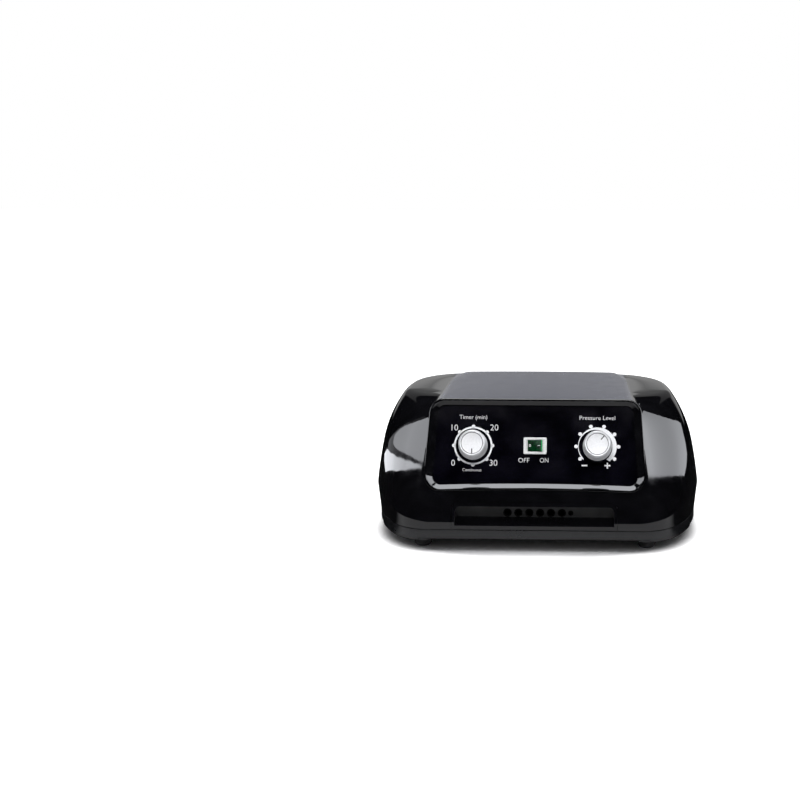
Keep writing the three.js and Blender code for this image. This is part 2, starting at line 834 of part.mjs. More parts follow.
const portPlaces = Array.from({ length: port.holeCount },
  (_, i) => (i - (port.holeCount - 1) / 2) * port.holePitch);

// Port block: a recessed mouth with a sloping floor and the row of ports in its back
function portBlock() {
  const frontY = -body.frontDepth - overrun;
  const slope = (port.floorRearZ - port.floorFrontZ) / (recessRearY + body.frontDepth);
  const half = port.halfWidth - port.side;
  const scoop = acrossPrism([
    [frontY, port.floorRearZ - (recessRearY - frontY) * slope],
    [recessRearY, port.floorRearZ],
    [recessRearY, port.ceilingZ - port.lip],
    [frontY, port.ceilingZ],
  ], half);
  const depth = recessRearY - frontY + 2 * overrun;
  const rounded = roundedPlate(2 * half, 2 * (port.ceilingZ - body.seamZ),
    port.cornerRadius - port.side / 2, depth, 0,
    frontY - overrun, body.seamZ);
  const belowSill = block(2 * (port.halfWidth + overrun), body.frontDepth, body.seamZ + gap, 0,
    -body.frontDepth / 2, (body.seamZ + gap) / 2);
  const startY = recessRearY - overrun;
  const holes = portPlaces.map((x) => inward(port.holeDiameter / 2, body.frontDepth, x, startY, port.holeZ,
    14));
  const key = inward(port.keyDiameter / 2, body.frontDepth, portPlaces.at(-1) + port.keyPitch, startY,
    port.holeZ, 8);
  return cut(common(outerShape, portMouth(0)), belowSill, common(scoop, rounded), ...holes, key);
}

// A tubular barb that a hose is pushed over
const barbSides = 6;
const boreSides = 4;
const barbUp = (x, y, z) => upright(barb.radius, barb.length, x, y, z, barbSides);
const barbIn = (x, y, z) => inward(barb.radius, barb.length, x, y, z, barbSides);

function portManifold() {
  const halfLength = portPlaces.at(-1) + manifold.margin;
  const frontY = portRearY + gap;
  const stock = block(2 * halfLength, manifold.depth, manifold.height, 0, frontY + manifold.depth / 2,
    port.holeZ);
  const barbs = portPlaces.map((x) => barbIn(x, frontY + manifold.depth, port.holeZ));
  const sockets = portPlaces.map((x) => inward(port.holeDiameter / 2, manifold.depth / 2 + overrun, x,
    frontY - overrun, port.holeZ, 8));
  const bores = portPlaces.map((x) => inward(barb.bore, 2 * manifold.depth + barb.length, x, frontY,
    port.holeZ, boreSides));
  return cut(join(stock, ...barbs), ...sockets, ...bores);
}

// A hose between two fittings: straight over each barb, with one smooth bend between them.
// Each end gives its point, the direction that the hose leaves in and the reach of the bend there.
function hoseBetween(ends, steps) {
  const [start, end] = ends.map(([point]) => point);
  const [from, to] = ends.map(([point, along]) => point.clone().addScaledVector(along, hose.straight));
  const handles = ends.map(([point, along, reach]) => point.clone().addScaledVector(along,
    hose.straight + reach));
  const path = new THREE.CurvePath();
  path.add(new THREE.LineCurve3(start, from));
  path.add(new THREE.CubicBezierCurve3(from, ...handles, to));
  path.add(new THREE.LineCurve3(to, end));
  return tubeAlong(path, steps);
}

// A tube with its bore, along a curve
function tubeAlong(curve, steps) {
  const ring = (radius, count) => Array.from({ length: count }, (_, i) => {
    const turn = (2 * PI * i) / count;
    return new THREE.Vector2(radius * cos(turn), radius * sin(turn));
  });
  const shape = new THREE.Shape(ring(hose.radius, 6));
  shape.holes.push(new THREE.Path(ring(hose.bore, 5)));
  return toSolid(new THREE.ExtrudeGeometry(shape, { steps, extrudePath: curve }));
}

const outletPlaces = portPlaces.map((x) => valveX + (x * valve.outletPitch) / port.holePitch);
const valveBodyZ = tray.bottomZ + tray.floor + valve.motorHeight + gap;
const outletZ = valveBodyZ + valve.outletRise;
const railFrontY = valve.railY - valve.railDepth / 2;

function portTube(i) {
  const start = new THREE.Vector3(portPlaces[i], portRearY + 2 * gap + manifold.depth, port.holeZ);
  const end = new THREE.Vector3(outletPlaces[i], railFrontY - gap, outletZ);
  const ahead = new THREE.Vector3(0, 1, 0);
  const reach = (end.y - start.y) / 4;
  return hoseBetween([[start, ahead, reach], [end, ahead.clone().negate(), reach]], 7);
}

// Base tray: floor, wall and lip in the plan of the case, with the posts and pegs that carry the rest
const floorZ = tray.bottomZ + tray.floor;

function trayRing(inset, z, steps) {
  const seam = wallInsets(inset, body.seamZ);
  return planRing(seam, steps).map(([x, y]) => new THREE.Vector3(x, y, z));
}

const mountPlaces = [[-1, -1], [1, -1], [-1, 1], [1, 1]].map(([sx, sy]) => [
  pumpX + sx * (pumpHalfLength - pump.mountInset),
  pump.y + sy * (pump.baseWidth / 2 - pump.mountInset),
]);
const standoffPlaces = [[-1, -1], [1, -1], [-1, 1], [1, 1]].map(([sx, sy]) => [
  boardX + sx * (board.width / 2 - board.inset),
  board.y + sy * (board.length / 2 - board.inset),
]);
const footPlaces = [foot.frontInset - body.frontDepth, body.rearDepth - foot.rearInset].flatMap((y) => (
  [-1, 1].map((sx) => [sx * (body.halfWidth - foot.sideInset), y])
));
const tabReach = valve.bodyRadius + valve.tabRadius;
const tabPlaces = [[valveX, valve.y - tabReach], [valveX, valve.y + tabReach]];

function baseTray() {
  const lipInset = body.wall + gap;
  const innerInset = lipInset + tray.lipThick;
  const rimTop = body.seamZ - gap;
  const outer = loft([
    trayRing(tray.edgeInset, tray.bottomZ, fineSteps),
    trayRing(0, tray.bottomZ + tray.edgeRise, fineSteps),
    trayRing(0, rimTop, fineSteps),
  ]);
  const lip = loft([trayRing(lipInset, floorZ, coarseSteps),
    trayRing(lipInset, body.seamZ + tray.lipHeight, coarseSteps)]);
  const hollow = loft([trayRing(innerInset, floorZ, coarseSteps),
    trayRing(innerInset, body.seamZ + tray.lipHeight + overrun, coarseSteps)]);
  const pads = footPlaces.map(([x, y]) => upright(tray.padRadius, tray.padDrop + tray.floor, x, y,
    foot.topZ, 16));
  const lowered = loft([foot.topZ, floorZ].map((z) => trayRing(tray.edgeInset, z, fineSteps)));
  const cornerPads = [[-1, -1], [1, -1], [-1, 1], [1, 1]].map(([sx, sy]) => {
    const x = sx * (body.halfWidth - tray.cornerInset);
    const y = sy * (body.frontDepth - tray.cornerInset);
    return common(lowered, upright(tray.cornerRadius, floorZ, x, y, 0, 24));
  });
  const posts = screwPlaces.map(([x, y]) => upright(screw.postRadius, screw.postTopZ - floorZ + gap, x, y,
    floorZ - gap, 10));
  const pegs = mountPlaces.map(([x, y]) => upright(tray.pegRadius, tray.pegHeight + gap, x, y, floorZ - gap,
    8));
  const standoffs = standoffPlaces.flatMap(([x, y]) => [
    upright(board.standoffRadius, board.z - floorZ + gap, x, y, floorZ - gap, 6),
    upright(board.pegRadius, board.z + board.thick + board.pegProud - floorZ, x, y, floorZ, 4),
  ]);
  const tabPosts = tabPlaces.map(([x, y]) => upright(valve.tabRadius, valveBodyZ - floorZ, x, y,
    floorZ - gap, 10));
  const shelfHalf = portPlaces.at(-1) + manifold.margin;
  const shelfTop = port.holeZ - manifold.height / 2 - gap;
  const shelf = block(2 * shelfHalf, manifold.depth / 2, shelfTop - floorZ + gap, 0,
    portRearY + manifold.depth / 2,
    (shelfTop + floorZ - gap) / 2);
  const rim = upright(valve.motorRadius + gap + tray.rim, tray.rimHeight + gap, valveX, valve.y,
    floorZ - gap, 18);
  const motorSeat = upright(valve.motorRadius + 2 * gap, tray.rimHeight + overrun, valveX, valve.y, floorZ,
    18);
  const mouth = block(2 * (port.halfWidth + gap), body.frontDepth, port.topZ, 0,
    portRearY + gap - body.frontDepth / 2,
    rimTop + port.topZ / 2);
  const shell = join(cut(join(outer, lip), hollow), ...pads, ...cornerPads, ...posts, ...pegs, ...standoffs,
    ...tabPosts, shelf, cut(rim, motorSeat));
  const screwCuts = screwPlaces.flatMap(([x, y]) => [
    upright(screw.shank / 2 + gap, screw.postTopZ + overrun, x, y, 0, 8),
    upright(screw.head / 2 + gap, tray.bottomZ + screw.recess, x, y, 0, 8),
  ]);
  const stemCuts = footPlaces.map(([x, y]) => upright(foot.stemRadius + gap, floorZ + overrun, x, y, 0, 8));
  const slots = [];
  for (let i = 0; i < vent.trayCount; i += 1) {
    const x = pumpX + (i - (vent.trayCount - 1) / 2) * vent.trayPitch;
    slots.push(block(vent.width, vent.trayLength, tray.floor + 2 * overrun, x, pump.y, floorZ));
  }
  return cut(shell, mouth, ...screwCuts, ...stemCuts, ...slots);
}

function rubberFoot(x, y) {
  const stemTop = foot.topZ + foot.stemLength;
  const profile = [
    [0, 0], [foot.radius - foot.edge, 0], [foot.radius, foot.edge], [foot.radius, foot.topZ],
    [foot.stemRadius, foot.topZ], [foot.stemRadius, stemTop], [0, stemTop],
  ];
  return toSolid(at(turned(profile, 12), x, y, 0));
}

function caseScrew(x, y) {
  const headZ = tray.bottomZ + screw.recess - screw.headThick - gap;
  const { head, headThick, shank, length } = screw;
  const profile = [
    [0, 0], [head / 2, 0], [head / 2, headThick], [shank / 2, headThick],
    [shank / 2, headThick + length - shank], [0, headThick + length],
  ];
  const socket = upright(screw.socket / 2, headThick / 2 + overrun, x, y, headZ - overrun, 6);
  return cut(toSolid(at(turned(profile, 6), x, y, headZ)), socket);
}

// Front panel pieces, in the panel's own axes
function bezel() {
  const outerOutline = frameOutline(frameInset(frame.rim), frameSteps);
  const stock = panelLoft(outerOutline, 0, frame.depth);
  const opening = loft([
    outlineAt(frameOutline(bezelSlope(-gap), frameSteps), -gap),
    outlineAt(frameOutline(bezelInner(), frameSteps), frame.depth - frame.land),
    outlineAt(frameOutline(bezelInner(), frameSteps), frame.depth + overrun),
  ]);
  return cut(stock, opening);
}

function fasciaPanel() {
  const backY = frame.depth + fascia.seat;
  const stock = panelLoft(frameOutline(frameInset(frame.rim), frameSteps), backY, backY + fascia.thick);
  const bushHoles = [-1, 1].map((side) => inward(bush.diameter / 2 + gap, seatDepth, side * knobX, 0,
    controls.height, 16));
  const switchHole = roundedPlate(rocker.bodyWidth + 2 * gap, rocker.bodyHeight + 2 * gap,
    rocker.frameRadius, seatDepth, 0, 0,
    controls.height, 2);
  return cut(stock, ...bushHoles, switchHole);
}

const knobX = controls.knobSpacing / 2;
const fasciaY = frame.depth + fascia.seat;
const fasciaBackY = fasciaY + fascia.thick;

// Knob, drawn with its face towards +Z and its skirt at zero, its pointer towards +Y
function knobSolid() {
  const outer = toSolid(turned([
    [0, 0], [knob.diameter / 2, 0], [knob.diameter / 2, knob.skirtHeight],
    [knob.diameter / 2 - knob.skirtStep, knob.skirtHeight + knob.skirtStep],
    [knob.diameter / 2 - knob.skirtStep, knob.height - knob.bevel],
    [knob.faceDiameter / 2, knob.height], [0, knob.height],
  ], 28));
  const ceiling = knob.height - knob.top;
  const hollow = upright(knob.diameter / 2 - knob.skirtStep - knob.wall, ceiling + overrun, 0, 0, -overrun,
    16);
  const hub = upright(knob.hubDiameter / 2, ceiling - bush.proud - bush.nutThick, 0, 0,
    bush.proud + bush.nutThick, 12);
  const bore = upright(shaft.diameter / 2 + gap, knob.bore + overrun, 0, 0, ceiling - knob.bore, 12);
  const pointer = block(knob.pointerWidth, knob.pointerLength, 2 * knob.pointerDepth, 0,
    knob.faceDiameter / 2 - knob.pointerLength / 2,
    knob.height);
  return cut(join(cut(outer, hollow), hub), cut(bore,
    upright(knob.hubDiameter, knob.height, 0, 0, ceiling, 8)), pointer);
}

// Turns a control drawn about +Z to face out of the panel, turned clockwise by rest, at x on the panel
function onPanel(solid, x, y, rest = 0) {
  const geometry = toGeometry(solid).rotateZ(-rest).rotateX(PI / 2);
  return toSolid(at(geometry, x, y, controls.height));
}

const knobSkirtY = fasciaY - knob.running;
const boreEndY = knobSkirtY - (knob.height - knob.top) + gap;

function controlShaft(x, bodyY, rest) {
  const length = bodyY - boreEndY;
  const round = upright(shaft.diameter / 2, length, 0, 0, 0, 16);
  const flatCut = block(shaft.diameter, shaft.diameter, knob.bore, 0, shaft.diameter - shaft.flat,
    length - knob.bore / 2);
  return onPanel(cut(round, flatCut), x, bodyY, rest);
}

function bushNut(x) {
  const nut = upright(bush.nutAcross / sqrt(3), bush.nutThick, 0, 0, 0, 6);
  return onPanel(cut(nut, upright(bush.diameter / 2 + gap, bush.nutThick + 2 * overrun, 0, 0, -overrun,
    16)), x, fasciaY - gap);
}

// Bodies behind the panel have a bush that passes the panel, and a bore for the shaft
function bushAndBore(x, stock, boreDepth) {
  const neck = inward(bush.diameter / 2, fasciaBackY - fasciaY + bush.proud + gap, x, fasciaY - bush.proud,
    controls.height, 12);
  const bore = inward(shaft.diameter / 2 + gap, fasciaBackY - fasciaY + bush.proud + boreDepth + overrun, x,
    fasciaY - bush.proud - overrun, controls.height, 16);
  return cut(join(stock, neck), bore);
}

const shaftEndY = fasciaBackY + gap + timer.plate;

function timerUnit() {
  const startY = fasciaBackY + gap;
  const plate = roundedPlate(timer.diameter, timer.diameter, timer.plateRadius, timer.plate, -knobX, startY,
    controls.height, 2);
  const can = inward(timer.diameter / 2 - timer.plate, timer.depth, -knobX, startY, controls.height, 20);
  const tags = [-1, 0, 1].map((i) => block(rocker.tagWidth, rocker.tagLength + overrun, rocker.tagThick,
    -knobX + i * rocker.tagSpacing, startY + timer.depth + (rocker.tagLength - overrun) / 2,
      controls.height));
  return bushAndBore(-knobX, join(plate, can, ...tags), timer.plate + 2 * gap);
}

function pressurePotentiometer() {
  const startY = fasciaBackY + gap;
  const can = inward(potentiometer.diameter / 2, potentiometer.depth, knobX, startY, controls.height, 14);
  const tags = [-1, 0, 1].map((i) => block(potentiometer.tagWidth, potentiometer.tagThick,
    potentiometer.tagLength + overrun,
    knobX + i * potentiometer.tagPitch, startY + potentiometer.depth / 2,
    controls.height - potentiometer.diameter / 2 - (potentiometer.tagLength - overrun) / 2));
  return bushAndBore(knobX, join(can, ...tags), timer.plate + 2 * gap);
}

// Power switch: frame on the fascia, body behind it, and a rocker that pivots about the panel's up axis
const switchFaceY = fasciaY - rocker.frameThick - gap;
const pivotY = switchFaceY + rocker.pivotDepth;

function switchHousing() {
  const z = controls.height;
  const rim = roundedPlate(rocker.frameWidth, rocker.frameHeight, rocker.frameRadius, rocker.frameThick, 0,
    switchFaceY, z, 2);
  const shell = roundedPlate(rocker.bodyWidth, rocker.bodyHeight, rocker.frameRadius, rocker.bodyDepth, 0,
    switchFaceY, z, 2);
  const well = block(rocker.openWidth, rocker.wellDepth + overrun, rocker.openHeight, 0,
    switchFaceY + (rocker.wellDepth - overrun) / 2, z);
  const pivot = upright(rocker.pivotRadius + gap, rocker.openHeight + 2 * (rocker.pivotLength + gap), 0,
    pivotY,
    z - rocker.openHeight / 2 - rocker.pivotLength - gap, 12);
  const tags = [-1, 1].map((side) => block(rocker.tagWidth, rocker.tagLength + overrun, rocker.tagThick,
    (side * rocker.tagSpacing) / 2, switchFaceY + rocker.bodyDepth + (rocker.tagLength - overrun) / 2, z));
  return cut(join(rim, shell, ...tags), well, pivot);
}

function switchRocker() {
  const rise = rocker.pivotDepth + rocker.crown;
  const half = (rocker.openWidth / 2 - gap - rise * sin(rocker.swing)) / cos(rocker.swing);
  const height = rocker.openHeight - 2 * gap;
  const shape = [
    [-half, -rise], [0, -rise + rocker.dip], [half, -rise], [half, 0],
    [rocker.footHalf, rocker.footDepth], [-rocker.footHalf, rocker.footDepth], [-half, 0],
  ];
  const paddle = prism(shape, height, -height / 2);
  const pinHeight = rocker.openHeight + 2 * rocker.pivotLength;
  const pivot = upright(rocker.pivotRadius, pinHeight, 0, 0, -pinHeight / 2, 12);
  const rested = toGeometry(join(paddle, pivot)).rotateZ(-rocker.swing);
  return toSolid(at(rested, 0, pivotY, controls.height));
}

// Rear panel with the mains inlet and the fuse holder
const rearMiddleZ = (rear.topZ + rear.bottomZ) / 2;

function rearPanel() {
  const plate = roundedPlate(2 * rear.halfWidth, rear.topZ - rear.bottomZ, rear.radius, rear.thick, 0,
    rearFaceY - rear.thick, rearMiddleZ);
  const inletHole = block(inlet.width + 2 * gap, 2 * overrun, inlet.height + 2 * gap, inlet.x, rearFaceY,
    inlet.z);
  const fuseHole = inward(fuse.diameter / 2 + gap, 2 * overrun, fuse.x, rearFaceY - overrun, fuse.z, 20);
  return cut(plate, inletHole, fuseHole);
}

const pinPlaces = [[-pin.spacing, 0], [0, pin.rise],
  [pin.spacing, 0]].map(([x, z]) => [inlet.x + x, inlet.z + z - pin.rise / 2]);
const inletFaceY = rearFaceY + gap + inlet.flangeThick;

function mainsInlet() {
  const flange = roundedPlate(inlet.flangeWidth, inlet.flangeHeight, inlet.flangeRadius, inlet.flangeThick,
    inlet.x, rearFaceY + gap,
    inlet.z, 2);
  const depth = inlet.depth + inlet.flangeThick;
  const shell = block(inlet.width, depth, inlet.height, inlet.x, inletFaceY - depth / 2, inlet.z);
  const [w, h, c] = [inlet.wellWidth / 2, inlet.wellHeight / 2, inlet.chamfer];
  const outline = [[-w, -h], [w, -h], [w, h - c], [w - c, h], [-w + c, h], [-w, h - c]];
  const wellShape = new THREE.Shape(outline.map(([x, z]) => new THREE.Vector2(x, z)));
  const wellGeometry = new THREE.ExtrudeGeometry(wellShape,
    { depth: inlet.wellDepth + overrun, bevelEnabled: false });
  const well = toSolid(at(wellGeometry.rotateX(PI / 2), inlet.x, inletFaceY + overrun, inlet.z));
  const slots = pinPlaces.map(([x, z]) => block(pin.thick + 2 * gap, inlet.depth, pin.width + 2 * gap, x,
    inletFaceY - inlet.wellDepth - inlet.depth / 2, z));
  return cut(join(flange, shell), well, ...slots);
}

function inletPin(x, z) {
  const length = pin.length + pin.tail + inlet.depth + inlet.flangeThick - inlet.wellDepth;
  return block(pin.thick, length, pin.width, x, inletFaceY - inlet.wellDepth + pin.length - length / 2, z);
}

function fuseHolder() {
  const flange = inward(fuse.flangeDiameter / 2, fuse.flangeThick, fuse.x, rearFaceY + gap, fuse.z, 24);
  const barrel = inward(fuse.diameter / 2, fuse.depth + gap, fuse.x, rearFaceY - fuse.depth + gap, fuse.z,
    20);
  const bore = inward(fuse.bore / 2 + gap, fuse.depth, fuse.x,
    rearFaceY - fuse.depth + 2 * fuse.flangeThick, fuse.z, 16);
  return cut(join(flange, barrel), bore);
}

function fuseCap() {
  const faceY = rearFaceY + 2 * gap + fuse.flangeThick;
  const head = inward(fuse.headDiameter / 2, fuse.headThick, fuse.x, faceY, fuse.z, 20);
  const stem = inward(fuse.capDiameter / 2, fuse.capLength + gap, fuse.x, faceY - fuse.capLength, fuse.z,
    16);
  const slot = block(fuse.headDiameter, 2 * fuse.slotDepth, fuse.slotWidth, fuse.x, faceY + fuse.headThick,
    fuse.z);
  return cut(join(head, stem), slot);
}

// Compressor, drawn about its own centre on the base, then placed
const place = (solid, x, y, z) => toSolid(at(toGeometry(solid), x, y, z));
const atPump = (solid) => place(solid, pumpX, pump.y, 0);
const baseTopZ = pump.baseZ + pump.baseThick;

function compressorBase() {
  const w = pumpHalfLength;
  const d = pump.baseWidth / 2;
  const r = pump.baseRadius;
  const plate = prism([[-w + r, -d], [w - r, -d], [w, -d + r], [w, d - r], [w - r, d], [-w + r, d],
    [-w, d - r], [-w, -d + r]],
    pump.baseThick, pump.baseZ);
  const lift = pump.axisZ - baseTopZ;
  const ends = [-1, 1].map((side) => {
    const x = side * (pump.wallX + pump.wallThick / 2);
    const disc = sideways(pump.headRadius, pump.wallThick, x - pump.wallThick / 2, 0, pump.axisZ, 24);
    const leg = block(pump.wallThick, 2 * pump.headRadius, lift + gap, x, 0, pump.axisZ - (lift + gap) / 2);
    return join(disc, leg);
  });
  const window = sideways(pump.windowRadius, 2 * w, -w, 0, pump.axisZ, 16);
  const coreBottom = pump.axisZ - pump.coreHeight / 2;
  const pedestals = [-1, 1].map((side) => block(pump.coreLength, pump.yoke, coreBottom - baseTopZ + gap, 0,
    side * (yokeY + pump.yoke / 2), (coreBottom + baseTopZ - gap) / 2));
  return atPump(cut(join(plate, ...ends, ...pedestals), window));
}

const legTipY = pump.armatureThick / 2 + pump.airGap;
const yokeY = legTipY + pump.legLength;

// Laminated E core: a yoke and three legs that face the armature
function compressorCore(side) {
  const middleY = (length) => side * (legTipY + length / 2);
  const yoke = block(pump.coreLength, pump.yoke, pump.coreHeight, 0, side * (yokeY + pump.yoke / 2),
    pump.axisZ);
  const legs = [-1, 1].map((end) => block(pump.sideLeg, pump.legLength + gap, pump.coreHeight,
    end * (pump.coreLength / 2 - pump.sideLeg / 2), middleY(pump.legLength + gap), pump.axisZ));
  const middle = block(pump.middleLeg, pump.legLength + gap, pump.coreHeight, 0,
    middleY(pump.legLength + gap), pump.axisZ);
  return atPump(place(join(yoke, ...legs, middle), 0, 0, gap));
}

function coil(side) {
  const depth = pump.legLength - 2 * gap;
  const y = side > 0 ? legTipY + gap : -legTipY - gap - depth;
  const hole = [pump.middleLeg + 2 * gap, pump.coreHeight + 2 * gap];
  const outer = roundedPlate(hole[0] + 2 * pump.coilWall, hole[1] + 2 * pump.coilWall, pump.coilRadius,
    depth, 0, y, pump.axisZ + gap, 3);
  const inner = block(hole[0], 2 * depth + 2 * overrun, hole[1], 0, y + depth / 2, pump.axisZ + gap);
  return atPump(cut(outer, inner));
}

function armature() {
  const bar = block(pump.armatureLength, pump.armatureThick, pump.coreHeight, 0, 0, pump.axisZ);
  const half = headX + pump.rodProud;
  return atPump(join(bar, sideways(pump.rodRadius, 2 * half, -half, 0, pump.axisZ, 16)));
}

function diaphragm(side) {
  const x = side > 0 ? diaphragmX : -diaphragmX - pump.diaphragmThick;
  const disc = sideways(pump.diaphragmRadius, pump.diaphragmThick, x, 0, pump.axisZ, 20);
  return atPump(cut(disc, sideways(pump.rodRadius + gap, pump.diaphragmThick + 2 * overrun, x - overrun, 0,
    pump.axisZ, 16)));
}

const headMiddleX = headX + pump.headThick / 2;

function compressorHead(side) {
  const startX = side > 0 ? headX : -headX - pump.headThick;
  const cup = sideways(pump.headRadius, pump.headThick, startX, 0, pump.axisZ, 24);
  const chamberX = side > 0 ? headX - overrun : -headX - pump.chamberDepth;
  const chamber = sideways(pump.chamberRadius, pump.chamberDepth + overrun, chamberX, 0, pump.axisZ, 16);
  const barbZ = pump.axisZ + pump.headRadius - gap;
  const nipple = barbUp(side * headMiddleX, 0, barbZ);
  const bore = upright(barb.bore, pump.headRadius + barb.length, side * headMiddleX, 0, pump.axisZ,
    boreSides);
  return atPump(cut(join(cup, nipple), chamber, bore));
}

function isolationMount(x, y) {
  const height = pump.baseZ - floorZ;
  const profile = [
    [tray.pegRadius + gap, 0], [pump.mountRadius, 0], [pump.mountRadius - pump.mountWaist, height / 2],
      [pump.mountRadius, height],
    [tray.pegRadius + gap, height], [tray.pegRadius + gap, 0],
  ];
  return toSolid(at(turned(profile, 8), x, y, floorZ));
}

// Valve: motor on the tray, body on the motor and on two posts, and the ported rotor inside
function valveMotor() {
  const can = upright(valve.motorRadius, valve.motorHeight, valveX, valve.y, floorZ, 18);
  return cut(can, upright(valve.spindleRadius + gap, valve.motorHeight, valveX, valve.y,
    floorZ + valve.motorHeight / 2, 12));
}

const inletPlaces = [-1, 1].map((side) => [valveX + (side * valve.inletSpacing) / 2,
  valve.y + (side * valve.inletSpacing) / 2]);
const valveTopZ = valveBodyZ + valve.bodyHeight;

function valveBody() {
  const drum = upright(valve.bodyRadius, valve.bodyHeight, valveX, valve.y, valveBodyZ, 24);
  const chamber = upright(valve.bodyRadius - valve.wall, valve.bodyHeight - 2 * valve.wall, valveX, valve.y,
    valveBodyZ + valve.wall, 20);
  const spindleHole = upright(valve.spindleRadius + gap, valve.wall + 2 * overrun, valveX, valve.y,
    valveBodyZ - overrun, 12);
  const railHalf = outletPlaces.at(-1) - valveX + valve.wall + hose.radius;
  const rail = block(2 * railHalf, valve.railDepth, valve.railHeight, valveX, valve.railY, outletZ);
  const neckDepth = valve.y - valve.railY;
  const neck = block(2 * railHalf, neckDepth, valve.railHeight, valveX, valve.railY + neckDepth / 2,
    outletZ);
  const barbs = outletPlaces.map((x) => inward(barb.radius, barb.length + gap, x, railFrontY - barb.length,
    outletZ, barbSides));
  const bores = outletPlaces.map((x) => inward(barb.bore, barb.length + neckDepth, x,
    railFrontY - barb.length - overrun, outletZ, boreSides));
  const inlets = inletPlaces.map(([x, y]) => barbUp(x, y, valveTopZ - gap));
  const inletBores = inletPlaces.map(([x, y]) => upright(barb.bore, barb.length + valve.wall + overrun, x,
    y, valveTopZ - valve.wall - gap, boreSides));
  const tabs = tabPlaces.map(([x, y]) => {
    const inner = valve.y + sign(y - valve.y) * (valve.bodyRadius - valve.wall);
    const link = block(2 * valve.tabRadius, Math.abs(y - inner), valve.tabThick, x, (y + inner) / 2,
      valveBodyZ + valve.tabThick / 2);
    return join(upright(valve.tabRadius, valve.tabThick, x, y, valveBodyZ, 14), link);
  });
  return cut(join(drum, rail, neck, ...barbs, ...inlets, ...tabs), chamber, spindleHole, ...bores,
    ...inletBores);
}

function valveRotor() {
  const discZ = valveBodyZ + valve.wall + gap;
  const disc = upright((valve.bodyRadius - valve.wall) * cos(PI / 20) - gap, valve.rotorThick, valveX,
    valve.y, discZ, 24);
  const spindleZ = floorZ + valve.motorHeight / 2 + gap;
  const spindle = upright(valve.spindleRadius, discZ - spindleZ + gap, valveX, valve.y, spindleZ, 12);
  const track = (valve.bodyRadius - valve.wall) / 2;
  const ports = [0, 1, 2].map((i) => {
    const turn = (2 * PI * i) / 3;
    return upright(valve.portRadius, valve.rotorThick + 2 * overrun, valveX + track * cos(turn),
      valve.y + track * sin(turn),
      discZ - overrun, 12);
  });
  return cut(join(disc, spindle), ...ports);
}

// Hose from a compressor head up and over to the top of the valve
function supplyTube(side) {
  const [endX, endY] = side < 0 ? inletPlaces[1] : inletPlaces[0];
  const start = new THREE.Vector3(pumpX + side * headMiddleX, pump.y, pump.axisZ + pump.headRadius + gap);
  const end = new THREE.Vector3(endX, endY, valveTopZ + gap);
  const up = new THREE.Vector3(0, 0, 1);
  const crest = side < 0 ? hose.crestHigh : hose.crestLow;
  const ends = [start, end].map((point) => [point, up, crest - hose.straight - point.z]);
  return hoseBetween(ends, side < 0 ? 18 : 12);
}

// Control board with its larger components
function controlBoard() {
  const plate = block(board.width, board.length, board.thick, boardX, board.y, board.z + board.thick / 2);
  return cut(plate, ...standoffPlaces.map(([x, y]) => upright(board.pegRadius + 2 * gap,
    board.thick + 2 * overrun, x, y, board.z - overrun, 8)));
}

const boardTopZ = board.z + board.thick;

function heatSink() {
  const x = boardX + sink.x;
  const y = board.y + sink.y;
  const base = block(sink.base, sink.length, sink.height, x + (sink.width - sink.base) / 2, y,
    boardTopZ + sink.height / 2);
  const fins = Array.from({ length: sink.fins }, (_, i) => {
    const finY = y + (i / (sink.fins - 1) - 1 / 2) * (sink.length - sink.fin);
    return block(sink.width, sink.fin, sink.height, x, finY, boardTopZ + sink.height / 2);
  });
  return join(base, ...fins);
}

function boardCapacitor() {
  const { radius, height, groove, grooveZ } = capacitor;
  const profile = [[0, 0], [radius, 0], [radius, grooveZ - groove], [radius - groove, grooveZ],
    [radius, grooveZ + groove],
    [radius, height - groove], [radius - groove, height], [0, height]];
  return toSolid(at(turned(profile, 14), boardX + capacitor.x, board.y + capacitor.y, boardTopZ));
}

function boardTransformer() {
  const { width, depth, height, window, winding } = transformer;
  const x = boardX + transformer.x;
  const y = board.y + transformer.y;
  const core = block(width, depth, height, x, y, boardTopZ + height / 2);
  const bobbin = roundedPlate(width - 2 * window + 2 * winding, height - 2 * window + 2 * winding, winding,
    depth + 2 * winding, x,
    y - depth / 2 - winding, boardTopZ + height / 2, 3);
  return join(core, bobbin);
}

const root = new THREE.Group();
root.add(panel);

function add(name, solid, material, parent = root) {
  const mesh = new THREE.Mesh(toGeometry(solid), material);
  mesh.name = name;
  parent.add(mesh);
  return mesh;
}

const cornerNames = ['front_left', 'front_right', 'rear_left', 'rear_right'];

add('upper_housing', upperHousing(), finishes.shell);
add('base_tray', baseTray(), finishes.tray);
add('port_block', portBlock(), finishes.tray);
add('port_manifold', portManifold(), finishes.nylon);
cornerNames.forEach((corner, i) => add(`foot_${corner}`, rubberFoot(...footPlaces[i]), finishes.rubber));
cornerNames.forEach((corner, i) => add(`case_screw_${corner}`, caseScrew(...screwPlaces[i]),
  finishes.steel));

